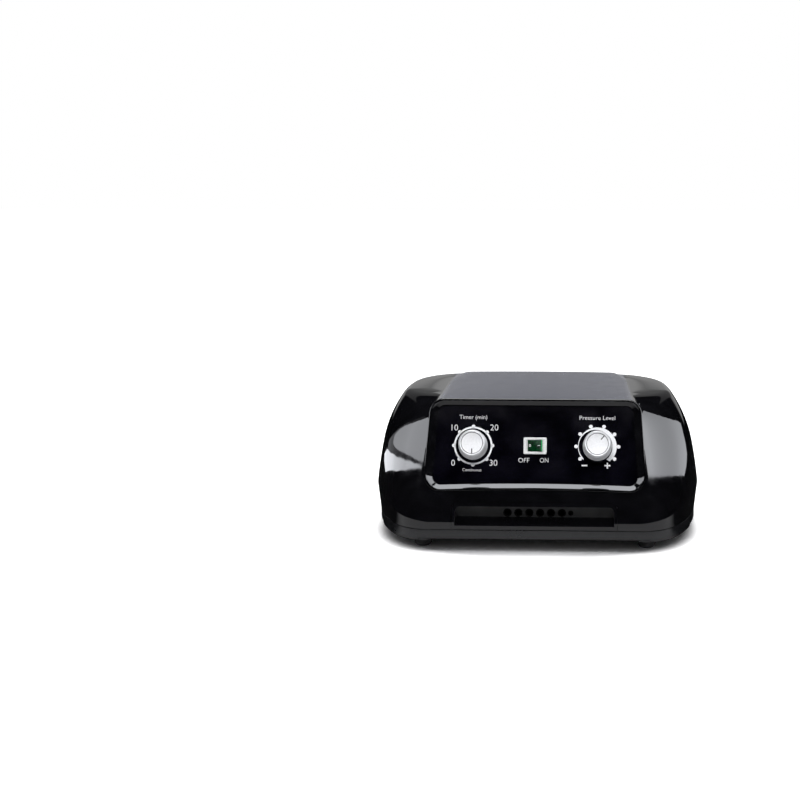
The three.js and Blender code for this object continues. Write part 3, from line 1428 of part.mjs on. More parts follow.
add('panel_bezel', bezel(), finishes.shell, panel);
add('fascia_panel', fasciaPanel(), finishes.panel, panel);
add('time_knob', onPanel(knobSolid(), -knobX, knobSkirtY, timeRest), finishes.silver, panel);
add('timer_shaft', controlShaft(-knobX, shaftEndY, timeRest), finishes.steel, panel);
add('timer_nut', bushNut(-knobX), finishes.steel, panel);
add('timer_unit', timerUnit(), finishes.dark, panel);
add('pressure_knob', onPanel(knobSolid(), knobX, knobSkirtY, pressureRest), finishes.silver, panel);
add('potentiometer_shaft', controlShaft(knobX, shaftEndY, pressureRest), finishes.steel, panel);
add('potentiometer_nut', bushNut(knobX), finishes.steel, panel);
add('pressure_potentiometer', pressurePotentiometer(), finishes.aluminium, panel);
add('switch_housing', switchHousing(), finishes.white, panel);
add('switch_rocker', switchRocker(), finishes.rocker, panel);

add('rear_panel', rearPanel(), finishes.tray);
add('mains_inlet', mainsInlet(), finishes.dark);
['live', 'earth', 'neutral'].forEach((use, i) => add(`inlet_pin_${use}`, inletPin(...pinPlaces[i]),
  finishes.steel));
add('fuse_holder', fuseHolder(), finishes.dark);
add('fuse_cap', fuseCap(), finishes.dark);

add('compressor_base', compressorBase(), finishes.aluminium);
for (const [end, side] of [['front', -1], ['rear', 1]]) {
  add(`compressor_core_${end}`, compressorCore(side), finishes.iron);
  add(`compressor_coil_${end}`, coil(side), finishes.copper);
}
add('armature', armature(), finishes.steel);
for (const [hand, side] of [['left', -1], ['right', 1]]) {
  add(`diaphragm_${hand}`, diaphragm(side), finishes.rubber);
  add(`compressor_head_${hand}`, compressorHead(side), finishes.aluminium);
  add(`supply_tube_${hand}`, supplyTube(side), finishes.hose);
}
cornerNames.forEach((corner, i) => add(`isolation_mount_${corner}`, isolationMount(...mountPlaces[i]),
  finishes.rubber));

add('valve_motor', valveMotor(), finishes.steel);
add('valve_body', valveBody(), finishes.nylon);
add('valve_rotor', valveRotor(), finishes.dark);
portPlaces.forEach((_, i) => add(`port_tube_${i + 1}`, portTube(i), finishes.hose));

add('control_board', controlBoard(), finishes.circuit);
add('heat_sink', heatSink(), finishes.aluminium);
add('board_capacitor', boardCapacitor(), finishes.dark);
add('board_transformer', boardTransformer(), finishes.iron);

export default root;
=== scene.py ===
# Looks of the compression therapy pump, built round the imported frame.
# Sizes are in millimetres, and become metres where a mesh, a lamp or the camera is made.
import json
from itertools import product
from math import cos, pi, radians, sin, sqrt, tan
from types import SimpleNamespace as Sizes

import bmesh
import bpy
import numpy as np
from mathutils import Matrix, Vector

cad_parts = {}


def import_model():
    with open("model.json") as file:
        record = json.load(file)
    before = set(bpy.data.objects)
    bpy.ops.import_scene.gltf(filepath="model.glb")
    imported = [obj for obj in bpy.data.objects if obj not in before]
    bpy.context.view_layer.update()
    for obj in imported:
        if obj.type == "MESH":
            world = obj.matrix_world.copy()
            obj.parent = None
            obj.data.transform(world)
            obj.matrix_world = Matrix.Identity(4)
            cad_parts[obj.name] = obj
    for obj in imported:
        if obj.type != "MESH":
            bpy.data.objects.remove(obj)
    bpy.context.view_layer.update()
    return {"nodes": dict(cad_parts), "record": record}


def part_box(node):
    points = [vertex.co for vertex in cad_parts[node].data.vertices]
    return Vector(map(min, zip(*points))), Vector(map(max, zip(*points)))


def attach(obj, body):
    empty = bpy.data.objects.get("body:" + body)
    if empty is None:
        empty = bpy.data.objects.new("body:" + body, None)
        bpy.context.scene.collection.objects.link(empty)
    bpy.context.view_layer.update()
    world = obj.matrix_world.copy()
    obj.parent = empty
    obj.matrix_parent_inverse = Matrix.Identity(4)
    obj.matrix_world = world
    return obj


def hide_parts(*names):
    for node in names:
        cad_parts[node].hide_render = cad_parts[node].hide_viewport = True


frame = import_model()

MM = 0.001
SMOOTH_BELOW = radians(32)
CORNERS = ("front_left", "front_right", "rear_left", "rear_right")
BOX_FACES = [(0, 1, 3, 2), (4, 6, 7, 5), (0, 4, 5, 1), (2, 3, 7, 6), (0, 2, 6, 4), (1, 5, 7, 3)]

# Case, as in the model: half width at the widest line, depths at the crease across front and rear
body = Sizes(
    half_width=151, front_depth=95.3, rear_depth=95.3, front_flat=95, rear_flat=104,
    rear_turn=radians(10), front_side_turn=radians(58), rear_side_turn=radians(78), wall=2.6,
    wall_draft=radians(5.6), seam_z=18.5, crease_z=25.6, bulge_z=44, profile_foot_z=12,
    front_lean=radians(22), front_roll=35, rear_lean=radians(7), rear_roll=8, side_low_z=30,
    side_low_start=radians(5), side_low_end=radians(12), side_low_radius=430,
    side_high_radius=110, side_high_end=radians(36.5), roof_rise_share=0.001,
    roof_crown_share=0.018, roof_ring_shares=(0.85, 0.7, 0.55, 0.4, 0.25, 0.1),
    crease_fillet=0.9, seam_fillet=0.35,
)
rim = Sizes(
    proud=1, bottom=27.7, top=112.1, half_top=94.7, half_bottom=100.3, radius_top=14,
    radius_bottom=15, arch=1.6, width=1.2, land=0.4, depth=4.2,
    chamfer={"top": 4.6, "side": 6.6, "bottom": 5.2}, ledge=2.4, fillet=0.5,
)
hood = Sizes(
    proud=2, rear_proud=0.3, taper_share=0.012, reach_share=0.66, tail_share=0.8, corner=20,
    corner_length=48, slices=16,
)
fascia = Sizes(overlap=2, thick=3, seat=0.3)
gap = 0.3
overrun = 4
controls = Sizes(height=69.8, knob_x=55.8)
port = Sizes(
    half_width=74, top_z=42.6, corner=6, side=2.7, lip=2.3, lip_clear=6, floor_front_z=22.3,
    floor_rear_z=26.3, ceiling_z=40, recess_depth=17.3, back_wall=4, hole=6.6, pitch=9.8,
    z=30.2, count=6, key=3.8, key_pitch=8,
)
tray = Sizes(
    bottom_z=9.5, floor=2.5, edge_inset=1.4, pad_radius=12, pad_z=7.5, pad_height=4,
    corner_radius=32, corner_flare=2, corner_inset=29, screw_hole=3.3, screw_depth=8,
    screw_mouth=2,
)
rear = Sizes(half_width=48, bottom_z=28, top_z=62, setback=10.5, thick=2.4, ledge=4, radius=3)
vent = Sizes(
    width=3, rear_inset=60, rear_z=74, rear_length=16, rear_pitch=6.5, rear_count=4,
    rear_shift=2.6, floor_length=30, floor_pitch=8, floor_count=6,
)


# Meshes


def new_object(name, data):
    holder = bpy.data.objects.new(name, data)
    bpy.context.scene.collection.objects.link(holder)
    return holder


def new_mesh(name, points, faces):
    """A mesh from points in millimetres."""
    mesh = bpy.data.meshes.new(name)
    mesh.from_pydata([tuple(float(c) * MM for c in p) for p in points], [], faces)
    mesh.validate()
    return mesh


def shaped_mesh(holder):
    """A copy of an object's mesh with its modifiers applied."""
    graph = bpy.context.evaluated_depsgraph_get()
    return bpy.data.meshes.new_from_object(holder.evaluated_get(graph))


def make(name, points, faces, material, on="case", replaces=(), slot=None):
    """A piece from points in millimetres, riding on a body of the frame."""
    return adopt(name, new_mesh(name, points, faces), material, on, replaces)


def adopt(name, mesh, material, on="case", replaces=()):
    """Makes a mesh a named piece with its finish, its body and the nodes that it stands for."""
    piece = new_object(name, mesh)
    dress(piece, material)
    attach(piece, on)
    if replaces:
        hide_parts(*replaces)
    return piece


def dress(piece, material):
    piece.data.materials.clear()
    piece.data.materials.append(material)
    piece.data.shade_smooth()
    piece.data.set_sharp_from_angle(angle=SMOOTH_BELOW)


def solid(points, faces):
    """A loose mesh object for cutting and joining, in metres."""
    return new_object("stock", new_mesh("stock", points, faces))


def combine(stock, operation, *tools):
    """Joins or cuts a stock with tools, which are used up, and returns the stock."""
    for tool in tools:
        step = stock.modifiers.new("step", "BOOLEAN")
        step.operation = operation
        step.solver = "MANIFOLD"
        step.object = tool
        made = shaped_mesh(stock)
        stock.modifiers.clear()
        stock.data = made
        bpy.data.objects.remove(tool)
    return stock


def take_mesh(stock):
    mesh = stock.data
    bpy.data.objects.remove(stock)
    return mesh


def loft(rings, closed_ends=True):
    """Points and faces of a skin over rings of equal count, outward whichever way it was drawn."""
    count = len(rings[0])
    points = [tuple(p) for ring in rings for p in ring]
    faces = []
    for r in range(len(rings) - 1):
        for i in range(count):
            a = r * count + i
            b = r * count + (i + 1) % count
            faces.append((a, b, b + count, a + count))
    if closed_ends:
        for ring, flip in ((0, True), (len(rings) - 1, False)):
            first = ring * count
            middle = len(points)
            points.append(tuple(np.mean(rings[ring], axis=0)))
            for i in range(count):
                a, b = first + i, first + (i + 1) % count
                faces.append((middle, b, a) if flip else (middle, a, b))
    if signed_volume(points, faces) < 0:
        faces = [face[::-1] for face in faces]
    return points, faces


def signed_volume(points, faces):
    p = np.array(points, float)
    total = 0.0
    for face in faces:
        for k in range(1, len(face) - 1):
            total += float(np.dot(p[face[0]], np.cross(p[face[k]], p[face[k + 1]])))
    return total


def ring_about_z(radius, height, count):
    turns = np.linspace(0, 2 * pi, count, endpoint=False)
    return np.stack([radius * np.cos(turns), radius * np.sin(turns), np.full(count, height)], 1)


def lathe(profile, count):
    """Points and faces of a profile turned about +Z: pairs of radius and height, the ends on the axis."""
    return loft([ring_about_z(radius, height, count) for radius, height in profile[1:-1]])


def upright(profile, count, x, y, z):
    """What lathe makes, stood at a place."""
    points, faces = lathe(profile, count)
    return [(px + x, py + y, pz + z) for px, py, pz in points], faces


def rounded(profile, radius, steps=4):
    """A polyline with each inner corner replaced by a smooth curve that starts radius away from it."""
    result = [np.array(profile[0], float)]
    for before, corner, after in zip(profile, profile[1:], profile[2:]):
        before, corner, after = (np.array(p, float) for p in (before, corner, after))
        legs = [before - corner, after - corner]
        reach = min(radius, *(np.linalg.norm(leg) / 2 for leg in legs))
        start, end = (corner + leg / np.linalg.norm(leg) * reach for leg in legs)
        for k in range(steps + 1):
            t = k / steps
            result.append((1 - t) ** 2 * start + 2 * t * (1 - t) * corner + t**2 * end)
    result.append(np.array(profile[-1], float))
    return [tuple(p) for p in result]


def box_corners(low, high):
    """In the order that BOX_FACES takes."""
    return list(product(*zip(low, high)))


def arc(centre_x, centre_y, radius, start, steps):
    """Points of a quarter circle."""
    turns = [start + pi / 2 * k / steps for k in range(steps + 1)]
    return [(centre_x + radius * cos(turn), centre_y + radius * sin(turn)) for turn in turns]


def round_rectangle(width, height, radius, steps=6):
    """Outline of a rounded rectangle about the origin."""
    points = []
    for k, (side_x, side_y) in enumerate(((1, 1), (-1, 1), (-1, -1), (1, -1))):
        centre = (side_x * (width / 2 - radius), side_y * (height / 2 - radius))
        points += arc(*centre, radius, k * pi / 2, steps)
    return points


def slot_outline(width, height):
    """A rectangle whose narrow ends are all but fully round."""
    return round_rectangle(width, height, min(width, height) / 2 - 0.01)


def arch_outline(half, bottom, top, corner, steps):
    """An opening with a flat foot and two round upper corners."""
    points = [(-half, bottom), (half, bottom)]
    points += arc(half - corner, top - corner, corner, 0, steps)
    return points + arc(corner - half, top - corner, corner, pi / 2, steps)


def round_outline(x, y, radius, sides):
    turns = np.linspace(0, 2 * pi, sides, endpoint=False)
    return [(x + radius * cos(turn), y + radius * sin(turn)) for turn in turns]


def shifted(outline, x, y):
    return [(x + u, y + w) for u, w in outline]


def across(outline, y):
    """An outline in x and z at one y."""
    return [(x, y, z) for x, z in outline]


def bar(outline, from_y, to_y):
    """A solid along y with its outline in x and z."""
    return solid(*loft([across(outline, y) for y in (from_y, to_y)]))


def post(outline, from_z, to_z):
    """A solid along z with its outline in x and y."""
    return solid(*loft([[(x, y, z) for x, y in outline] for z in (from_z, to_z)]))


# Plan outline of the case: end run, corner arc and side arc of each quarter


def plan_layout(bow, corner, side):
    """For each plan point: stretch, share along it and mirror signs, from the front's middle onwards."""
    quarter = [(0, i / bow) for i in range(bow)]
    quarter += [(1, i / corner) for i in range(corner)]
    quarter += [(2, i / side) for i in range(side + 1)]
    right = [(*entry, 1, -1) for entry in quarter] + [(*entry, 1, 1) for entry in quarter[-2::-1]]
    left = [(stretch, share, -1, sy) for stretch, share, _, sy in right[-2:0:-1]]
    return np.array(right + left, float)


def plan_points(layout, front, back, side):
    """Points and outline normals of the plan, moved in by an inset on the front, the rear and the sides."""
    stretch, share, sign_x, sign_y = layout.T
    at_front = sign_y < 0
    half_width = body.half_width - side
    half_depth = np.where(at_front, body.front_depth - front, body.rear_depth - back)
    flat = np.where(at_front, body.front_flat, body.rear_flat) * half_width / body.half_width
    end_turn = np.where(at_front, 0.0, body.rear_turn)
    turn = np.where(at_front, body.front_side_turn, body.rear_side_turn)
    end_radius = np.where(at_front, 0.0, flat / sin(body.rear_turn))
    run_x = half_width - flat
    run_y = half_depth - end_radius * (1 - np.cos(end_turn))
    corner_x_share, side_x_share = np.sin(turn) - np.sin(end_turn), 1 - np.sin(turn)
    corner_y_share, side_y_share = np.cos(end_turn) - np.cos(turn), np.cos(turn)
    both = corner_x_share * side_y_share - side_x_share * corner_y_share
    corner_radius = (run_x * side_y_share - side_x_share * run_y) / both
    side_radius = (corner_x_share * run_y - corner_y_share * run_x) / both
    swing = np.select(
        [stretch == 0, stretch == 1],
        [end_turn * share, end_turn + (turn - end_turn) * share],
        turn + (pi / 2 - turn) * share,
    )
    corner_x = flat - corner_radius * np.sin(end_turn)
    corner_y = run_y - corner_radius * np.cos(end_turn)
    end_x = np.where(at_front, flat * share, end_radius * np.sin(swing))
    end_y = half_depth - end_radius * (1 - np.cos(swing))
    x = np.select(
        [stretch == 0, stretch == 1],
        [end_x, corner_x + corner_radius * np.sin(swing)],
        half_width - side_radius * (1 - np.sin(swing)),
    )
    y = np.select(
        [stretch == 0, stretch == 1],
        [end_y, corner_y + corner_radius * np.cos(swing)],
        side_radius * np.cos(swing),
    )
    return x * sign_x, y * sign_y, np.sin(swing) * sign_x, np.cos(swing) * sign_y


# Heights of the roof, and the profiles of the dome

front_top_y = -body.front_depth + rim.top * sin(body.front_lean) - rim.proud * cos(body.front_lean)
hood_top_z = body.crease_z + rim.top * cos(body.front_lean) + rim.proud * sin(body.front_lean)
roof_z = hood_top_z - hood.proud


def lifted(x, y, z):
    weight = np.maximum(0, (z - body.seam_z) / (roof_z - body.seam_z)) ** 2
    rise = body.roof_rise_share + body.roof_crown_share * (1 - (x / body.half_width) ** 2)
    return np.stack([x, y, z + weight * (y - front_top_y) * rise], 1)


def profile_arc(points, radius, start, end, count=64):
    inset, z, _ = points[-1]
    for i in range(1, count + 1):
        slope = start + (end - start) * i / count
        inward, upward = cos(start) - cos(slope), sin(slope) - sin(start)
        points.append((inset + radius * inward, z + radius * upward, slope))


def leaning_profile(lean, roll):
    roll_z = roof_z - roll * (1 - sin(lean))
    points = [((z - body.crease_z) * tan(lean), z, lean) for z in (body.profile_foot_z, roll_z)]
    profile_arc(points, roll, lean, pi / 2)
    return np.array(points)


def side_profile():
    slope = body.side_low_start
    foot = -(body.side_low_z - body.profile_foot_z) * tan(slope)
    points = [(foot, body.profile_foot_z, slope), (0, body.side_low_z, slope)]
    profile_arc(points, body.side_low_radius, slope, body.side_low_end)
    profile_arc(points, body.side_high_radius, body.side_low_end, body.side_high_end)
    shoulder = (roof_z - points[-1][1]) / (1 - sin(body.side_high_end))
    profile_arc(points, shoulder, body.side_high_end, pi / 2)
    profile = np.array(points)
    profile[:, 0] -= inset_at(profile, 0, body.bulge_z)
    return profile


def inset_at(profile, offset, z):
    inset, height, slope = profile.T
    return np.interp(z, height - offset * np.sin(slope), inset + offset * np.cos(slope))


front_profile = leaning_profile(body.front_lean, body.front_roll)
rear_profile = leaning_profile(body.rear_lean, body.rear_roll)
side_curve = side_profile()


def dome_insets(offset, z):
    return [inset_at(profile, offset, z) for profile in (front_profile, rear_profile, side_curve)]


def wall_insets(offset, z):
    ends = (body.crease_z - z) * tan(body.wall_draft) + offset
    return [ends, ends, (body.bulge_z - z) * tan(body.wall_draft) + offset]


def crease_heights(layout, offset, halvings=24):
    """Height at each plan point where the flared wall meets the dome, closed in on from both sides."""
    low = np.full(len(layout), float(body.seam_z))
    high = np.full(len(layout), 2.0 * body.bulge_z)
    for _ in range(halvings):
        z = (low + high) / 2
        reaches = []
        for insets in (dome_insets(offset, z), wall_insets(offset, z)):
            x, y, nx, ny = plan_points(layout, *insets)
            reaches.append(x * nx + y * ny)
        outside = reaches[0] > reaches[1]
        low = np.where(outside, z, low)
        high = np.where(outside, high, z)
    return (low + high) / 2


def plan_ring(layout, insets, z):
    x, y, _, _ = plan_points(layout, *insets)
    return lifted(x, y, z)


def bend_through(start, corner, end, steps=5):
    """Rings that round the corner between two rings."""
    shares = [k / steps for k in range(steps + 1)]
    return [(1 - t) ** 2 * start + 2 * t * (1 - t) * corner + t**2 * end for t in shares]


def dome_solid(layout, offset, levels):
    """The case without its hood, moved inwards by offset; where hollow it runs on below the seam."""
    crease = crease_heights(layout, offset)
    every = np.ones(len(layout))
    top_z = roof_z - offset

    def wall_ring(inset, z):
        return plan_ring(layout, wall_insets(inset, z), z)

    def dome_ring(inset, z):
        return plan_ring(layout, dome_insets(inset, z), z)

    if offset > 0:
        rings = [wall_ring(offset, every * (body.seam_z - overrun))]
        start = crease
    else:
        foot = every * body.seam_z
        step = body.seam_fillet
        rings = bend_through(wall_ring(step, foot), wall_ring(0, foot), wall_ring(0, foot + step), 3)
        below, start = crease - body.crease_fillet, crease + body.crease_fillet
        for share in (0.25, 0.5, 0.75):
            rings.append(wall_ring(0, foot + step + (below - foot - step) * share))
        rings += bend_through(wall_ring(0, below), dome_ring(0, crease), dome_ring(0, start))
    for k in range(0 if offset > 0 else 1, levels + 1):
        rings.append(dome_ring(offset, start + (top_z - start) * sin(pi / 2 * k / levels)))
    edge = rings[-1]
    middle_y = (edge[:, 1].min() + edge[:, 1].max()) / 2
    for share in body.roof_ring_shares:
        y = middle_y + (edge[:, 1] - middle_y) * share
        rings.append(lifted(edge[:, 0] * share, y, every * top_z))
    return loft(rings)


# Panel axes: x across, y into the case, s up along the sloping front

panel_foot = np.array([
    0,
    -body.front_depth - rim.proud * cos(body.front_lean),
    body.crease_z + rim.proud * sin(body.front_lean),
])
into_panel = np.array([0, cos(body.front_lean), -sin(body.front_lean)])
up_panel = np.array([0, sin(body.front_lean), cos(body.front_lean)])


def from_panel(points):
    """Points in x, y and s as points of the scene."""
    x, y, s = np.array(points, float).T[:, :, None]
    return panel_foot + x * [1, 0, 0] + y * into_panel + s * up_panel


def face_out(points, x=0, y=0, s=controls.height, rest=0):
    """Puts what is drawn facing +Z with +Y up on the panel, turned clockwise by rest."""
    p = np.array(points, float)
    turned_x = p[:, 0] * cos(rest) + p[:, 1] * sin(rest)
    turned_y = -p[:, 0] * sin(rest) + p[:, 1] * cos(rest)
    return from_panel(np.stack([turned_x + x, y - p[:, 2], turned_y + s], 1))


def rim_outline(top, side, bottom, corner_steps=12, edge_steps=16):
    """Outline of the front frame in x and s, moved inwards on each side."""
    slant = (rim.half_bottom - rim.half_top) / (rim.top - rim.bottom)
    low, high = rim.bottom + bottom, rim.top - top
    half = {s: rim.half_top + (rim.top - s) * slant - side for s in (low, high)}
    radius_low = max(rim.radius_bottom - side, gap)
    radius_high = max(rim.radius_top - side, gap)
    corners = [(half[low], low, radius_low), (half[high], high, radius_high)]
    corners += [(-half[high], high, radius_high), (-half[low], low, radius_low)]
    places = [np.array(corner[:2]) for corner in corners]
    points = []
    for i, (_, _, radius) in enumerate(corners):
        place = places[i]
        before = (places[i - 1] - place) / np.linalg.norm(places[i - 1] - place)
        onward = places[(i + 1) % 4] - place
        after = onward / np.linalg.norm(onward)
        half_angle = np.arccos(before @ after) / 2
        middle = before + after
        centre = place + middle / np.linalg.norm(middle) * radius / sin(half_angle)
        start = place + before * radius / tan(half_angle) - centre
        for k in range(corner_steps + 1):
            turn = (pi - 2 * half_angle) * k / corner_steps
            x = start[0] * cos(turn) - start[1] * sin(turn)
            s = start[0] * sin(turn) + start[1] * cos(turn)
            points.append(centre + [x, s])
        if i in (1, 3):
            reach = np.linalg.norm(onward) - 2 * radius / tan(half_angle)
            origin = points[-1]
            for k in range(1, edge_steps):
                step = origin + after * reach * k / edge_steps
                lift = rim.arch * (1 - (step[0] / origin[0]) ** 2) if i == 3 else 0
                points.append(step + [0, lift])
    return np.array(points)


def even_outline(inset, **steps):
    return rim_outline(inset, inset, inset, **steps)


def chamfer_outline(share, extra=0, **steps):
    """Outline inside the frame's chamfer, from its outer edge at share 0 to its inner edge at 1."""
    insets = [rim.width + rim.chamfer[side] * share + extra for side in ("top", "side", "bottom")]
    return rim_outline(*insets, **steps)


def panel_ring(outline, y):
    """The points of an outline in x and s, at one depth."""
    return from_panel(np.stack([outline[:, 0], np.full(len(outline), float(y)), outline[:, 1]], 1))


def panel_tool(outline, from_y, to_y):
    return solid(*loft([panel_ring(outline, y) for y in (from_y, to_y)]))


# Finishes


def feed(tree, node, inputs):
    """Wires another node's output into an input, or sets its plain value."""
    for socket, value in inputs.items():
        if isinstance(value, bpy.types.NodeSocket):
            tree.links.new(value, node.inputs[socket])
        else:
            node.inputs[socket].default_value = value


def add_node(tree, kind, **inputs):
    """A shader node; an input's name is written with _ for each space."""
    node = tree.nodes.new("ShaderNode" + kind)
    feed(tree, node, {socket.replace("_", " "): value for socket, value in inputs.items()})
    return node


def shader_of(material):
    return material.node_tree.nodes["Principled BSDF"]


def finish(name, color, roughness, metallic=0.0, **sockets):
    """A principled surface whose even values stay on its own sockets."""
    material = bpy.data.materials.new(name)
    material.use_nodes = True
    material.diffuse_color = (*color, 1)
    values = {"Base Color": (*color, 1), "Roughness": roughness, "Metallic": metallic}
    values.update({socket.replace("_", " "): value for socket, value in sockets.items()})
    feed(material.node_tree, shader_of(material), values)
    return material


def noise(material, scale, detail, stretch=(1, 1, 1)):
    """Noise in the object's own metres, stretched along an axis for brushed or drawn surfaces."""
    tree = material.node_tree
    place = add_node(tree, "TexCoord").outputs["Object"]
    vector = add_node(tree, "Mapping", Scale=stretch, Vector=place).outputs["Vector"]
    return add_node(tree, "TexNoise", Scale=scale, Detail=detail, Vector=vector).outputs["Fac"]


def vary_color(material, value, low, high):
    ramp = add_node(material.node_tree, "ValToRGB", Fac=value)
    for stop, position, color in zip(ramp.color_ramp.elements, (0.35, 0.65), (low, high)):
        stop.position = position
        stop.color = (*color, 1)
    feed(material.node_tree, shader_of(material), {"Base Color": ramp.outputs["Color"]})


def vary_roughness(material, value, low, high):
    tree = material.node_tree
    spread = add_node(tree, "MapRange", From_Min=0.3, From_Max=0.7, To_Min=low, To_Max=high, Value=value)
    feed(tree, shader_of(material), {"Roughness": spread.outputs["Result"]})


def add_bump(material, value, strength, distance):
    tree = material.node_tree
    bump = add_node(tree, "Bump", Strength=strength, Distance=distance, Height=value)
    feed(tree, shader_of(material), {"Normal": bump.outputs["Normal"]})


def grained(
    name, color, roughness, grain, shares, relief,
    sheen=None, sheen_grain=None, fine=None, metallic=0.0, stretch=(1, 1, 1), **sockets
):
    """A surface that noise varies: its colour between two shares, its roughness over sheen, and its relief.

    grain is the noise's scale and detail, and so are sheen_grain and fine, which are for roughness and
    relief where they differ. relief is a bump's strength and distance.
    """
    material = finish(name, color, roughness, metallic, **sockets)
    value = noise(material, *grain, stretch)
    vary_color(material, value, *([min(1.0, c * share) for c in color] for share in shares))
    if sheen:
        vary_roughness(material, noise(material, *sheen_grain) if sheen_grain else value, *sheen)
    add_bump(material, noise(material, *fine) if fine else value, *relief)
    return material


def plain_finish(name, color, roughness, grain=900, bump=0.1, depth=0.00005, **options):
    """A moulded, cast or drawn surface."""
    sheen = (roughness * 0.85, min(1.0, roughness * 1.15))
    return grained(name, color, roughness, (grain, 4), (0.85, 1.15), (bump, depth), sheen, **options)


def semi_gloss(name, color, roughness, relief=0.12, **options):
    """Moulding with a fine spark-eroded grain."""
    return grained(
        name, color, roughness, grain=(2600, 2), shares=(0.8, 1.25), relief=(relief, 0.00003),
        sheen=(roughness * 0.8, roughness * 1.25), sheen_grain=(90, 4), IOR=1.5, **options
    )


def green_lens():
    """Clear green rocker whose colour is painted light: a noise moves it between deep and bright green in
    place of glints inside the lens, and the same noise gives its relief.
    """
    material = finish("green_lens", (0.002, 0.05, 0.014), 0.2, IOR=1.49, Specular_IOR_Level=0.12)
    relief_and_painted_glints = noise(material, 620, detail=2)
    # painted glints: the bright end of this colour range stands for light gathered inside the lens
    vary_color(material, relief_and_painted_glints, (0.0002, 0.006, 0.002), (0.0015, 0.055, 0.014))
    add_bump(material, relief_and_painted_glints, strength=0.15, distance=0.0002)
    return material


# The shell is high gloss with a trace of flow ripple, the panel is back-printed film with faint dust, the
# silver has fine turning grain, and the print covers a little unevenly
finishes = {
    "shell": grained(
        "gloss_shell", (0.0035, 0.0035, 0.0045), 0.035, grain=(60, 5), stretch=(1, 3, 1), shares=(0.8, 1.3),
        sheen=(0.022, 0.06), fine=(28, 1), relief=(0.06, 0.0004), IOR=1.52,
    ),
    "panel": grained(
        "fascia_film", (0.001, 0.0008, 0.003), 0.09, grain=(45, 5), shares=(0.6, 1.5),
        sheen=(0.07, 0.14), fine=(500, 2), relief=(0.03, 0.00004), IOR=1.45,
    ),
    "silver": grained(
        "spun_silver", (0.74, 0.745, 0.765), 0.34, metallic=0.35, grain=(700, 5), shares=(0.94, 1.05),
        sheen=(0.28, 0.42), fine=(2400, 2), relief=(0.08, 0.00004), IOR=1.6,
    ),
    "print": grained("printed_white", (0.93, 0.94, 0.96), 0.4, (1600, 3), (0.93, 1.03), (0.05, 0.00002)),
    # painted reflection: the hood top's grey-blue colour stands in for the backdrop seen in it, over a real
    # satin roughness
    "hood": semi_gloss("hood_satin_painted_reflection", (0.062, 0.066, 0.09), 0.14, 0.03),
    "tray": semi_gloss("tray_moulding", (0.0085, 0.0087, 0.0105), 0.22),
    "port": semi_gloss("port_moulding", (0.0052, 0.0055, 0.0068), 0.42, Specular_IOR_Level=0.35),
    "rocker": green_lens(),
}
for key, name, color, roughness, options in (
    # painted shade: near-black for the cups that darken the port holes
    ("painted_shade_cup", "painted_shade_cups", (0.0015, 0.0015, 0.0015), 0.85, {"grain": 1800, "Specular_IOR_Level": 0.1}),
    # painted glow: bright green for the rocker's raised end, standing in for light gathered in the clear
    # lens
    ("rocker_painted_glow", "green_lens_painted_glow", (0.005, 0.33, 0.08), 0.25, {"grain": 700}),
    ("white", "white_moulding", (0.86, 0.87, 0.88), 0.35, {"grain": 1500, "bump": 0.05}),
    ("rubber", "foot_rubber", (0.018, 0.018, 0.019), 0.8, {"grain": 1800, "bump": 0.35, "depth": 0.0001}),
    ("steel", "plated_steel", (0.6, 0.61, 0.63), 0.3, {"metallic": 1, "grain": 700, "stretch": (1, 1, 6)}),
    ("aluminium", "cast_aluminium", (0.6, 0.61, 0.62), 0.45, {"metallic": 1, "grain": 1200, "bump": 0.3}),
    (
        "copper", "wound_copper", (0.66, 0.32, 0.16), 0.35,
        {"metallic": 1, "grain": 1400, "bump": 0.5, "stretch": (1, 8, 1)},
    ),
    (
        "iron", "laminated_iron", (0.2, 0.21, 0.22), 0.5,
        {"metallic": 0.9, "bump": 0.4, "stretch": (1, 1, 12)},
    ),
    ("dark", "dark_moulding", (0.022, 0.022, 0.025), 0.5, {"grain": 1600, "bump": 0.15}),
    ("nylon", "natural_nylon", (0.78, 0.78, 0.74), 0.45, {"grain": 500}),
    ("hose", "silicone_hose", (0.55, 0.56, 0.58), 0.35, {"grain": 300, "bump": 0.05}),
    ("circuit", "board_mask", (0.03, 0.16, 0.07), 0.4, {"grain": 400, "bump": 0.15}),
):
    finishes[key] = plain_finish(name, color, roughness, **options)


# Shell

case_layout = plan_layout(bow=10, corner=18, side=14)
inner_layout = plan_layout(bow=3, corner=6, side=5)
front_end_y = -body.front_depth - overrun
rear_end_y = body.rear_depth + overrun
recess_y = -body.front_depth + port.recess_depth
port_rear_y = recess_y + port.back_wall
rear_face_y = body.rear_depth - rear.setback
seat_depth = rim.depth + fascia.thick + 2 * fascia.seat
port_holes = [(str(i + 1), (i - (port.count - 1) / 2) * port.pitch, port.hole) for i in range(port.count)]
port_holes.append(("key", port_holes[-1][1] + port.key_pitch, port.key))


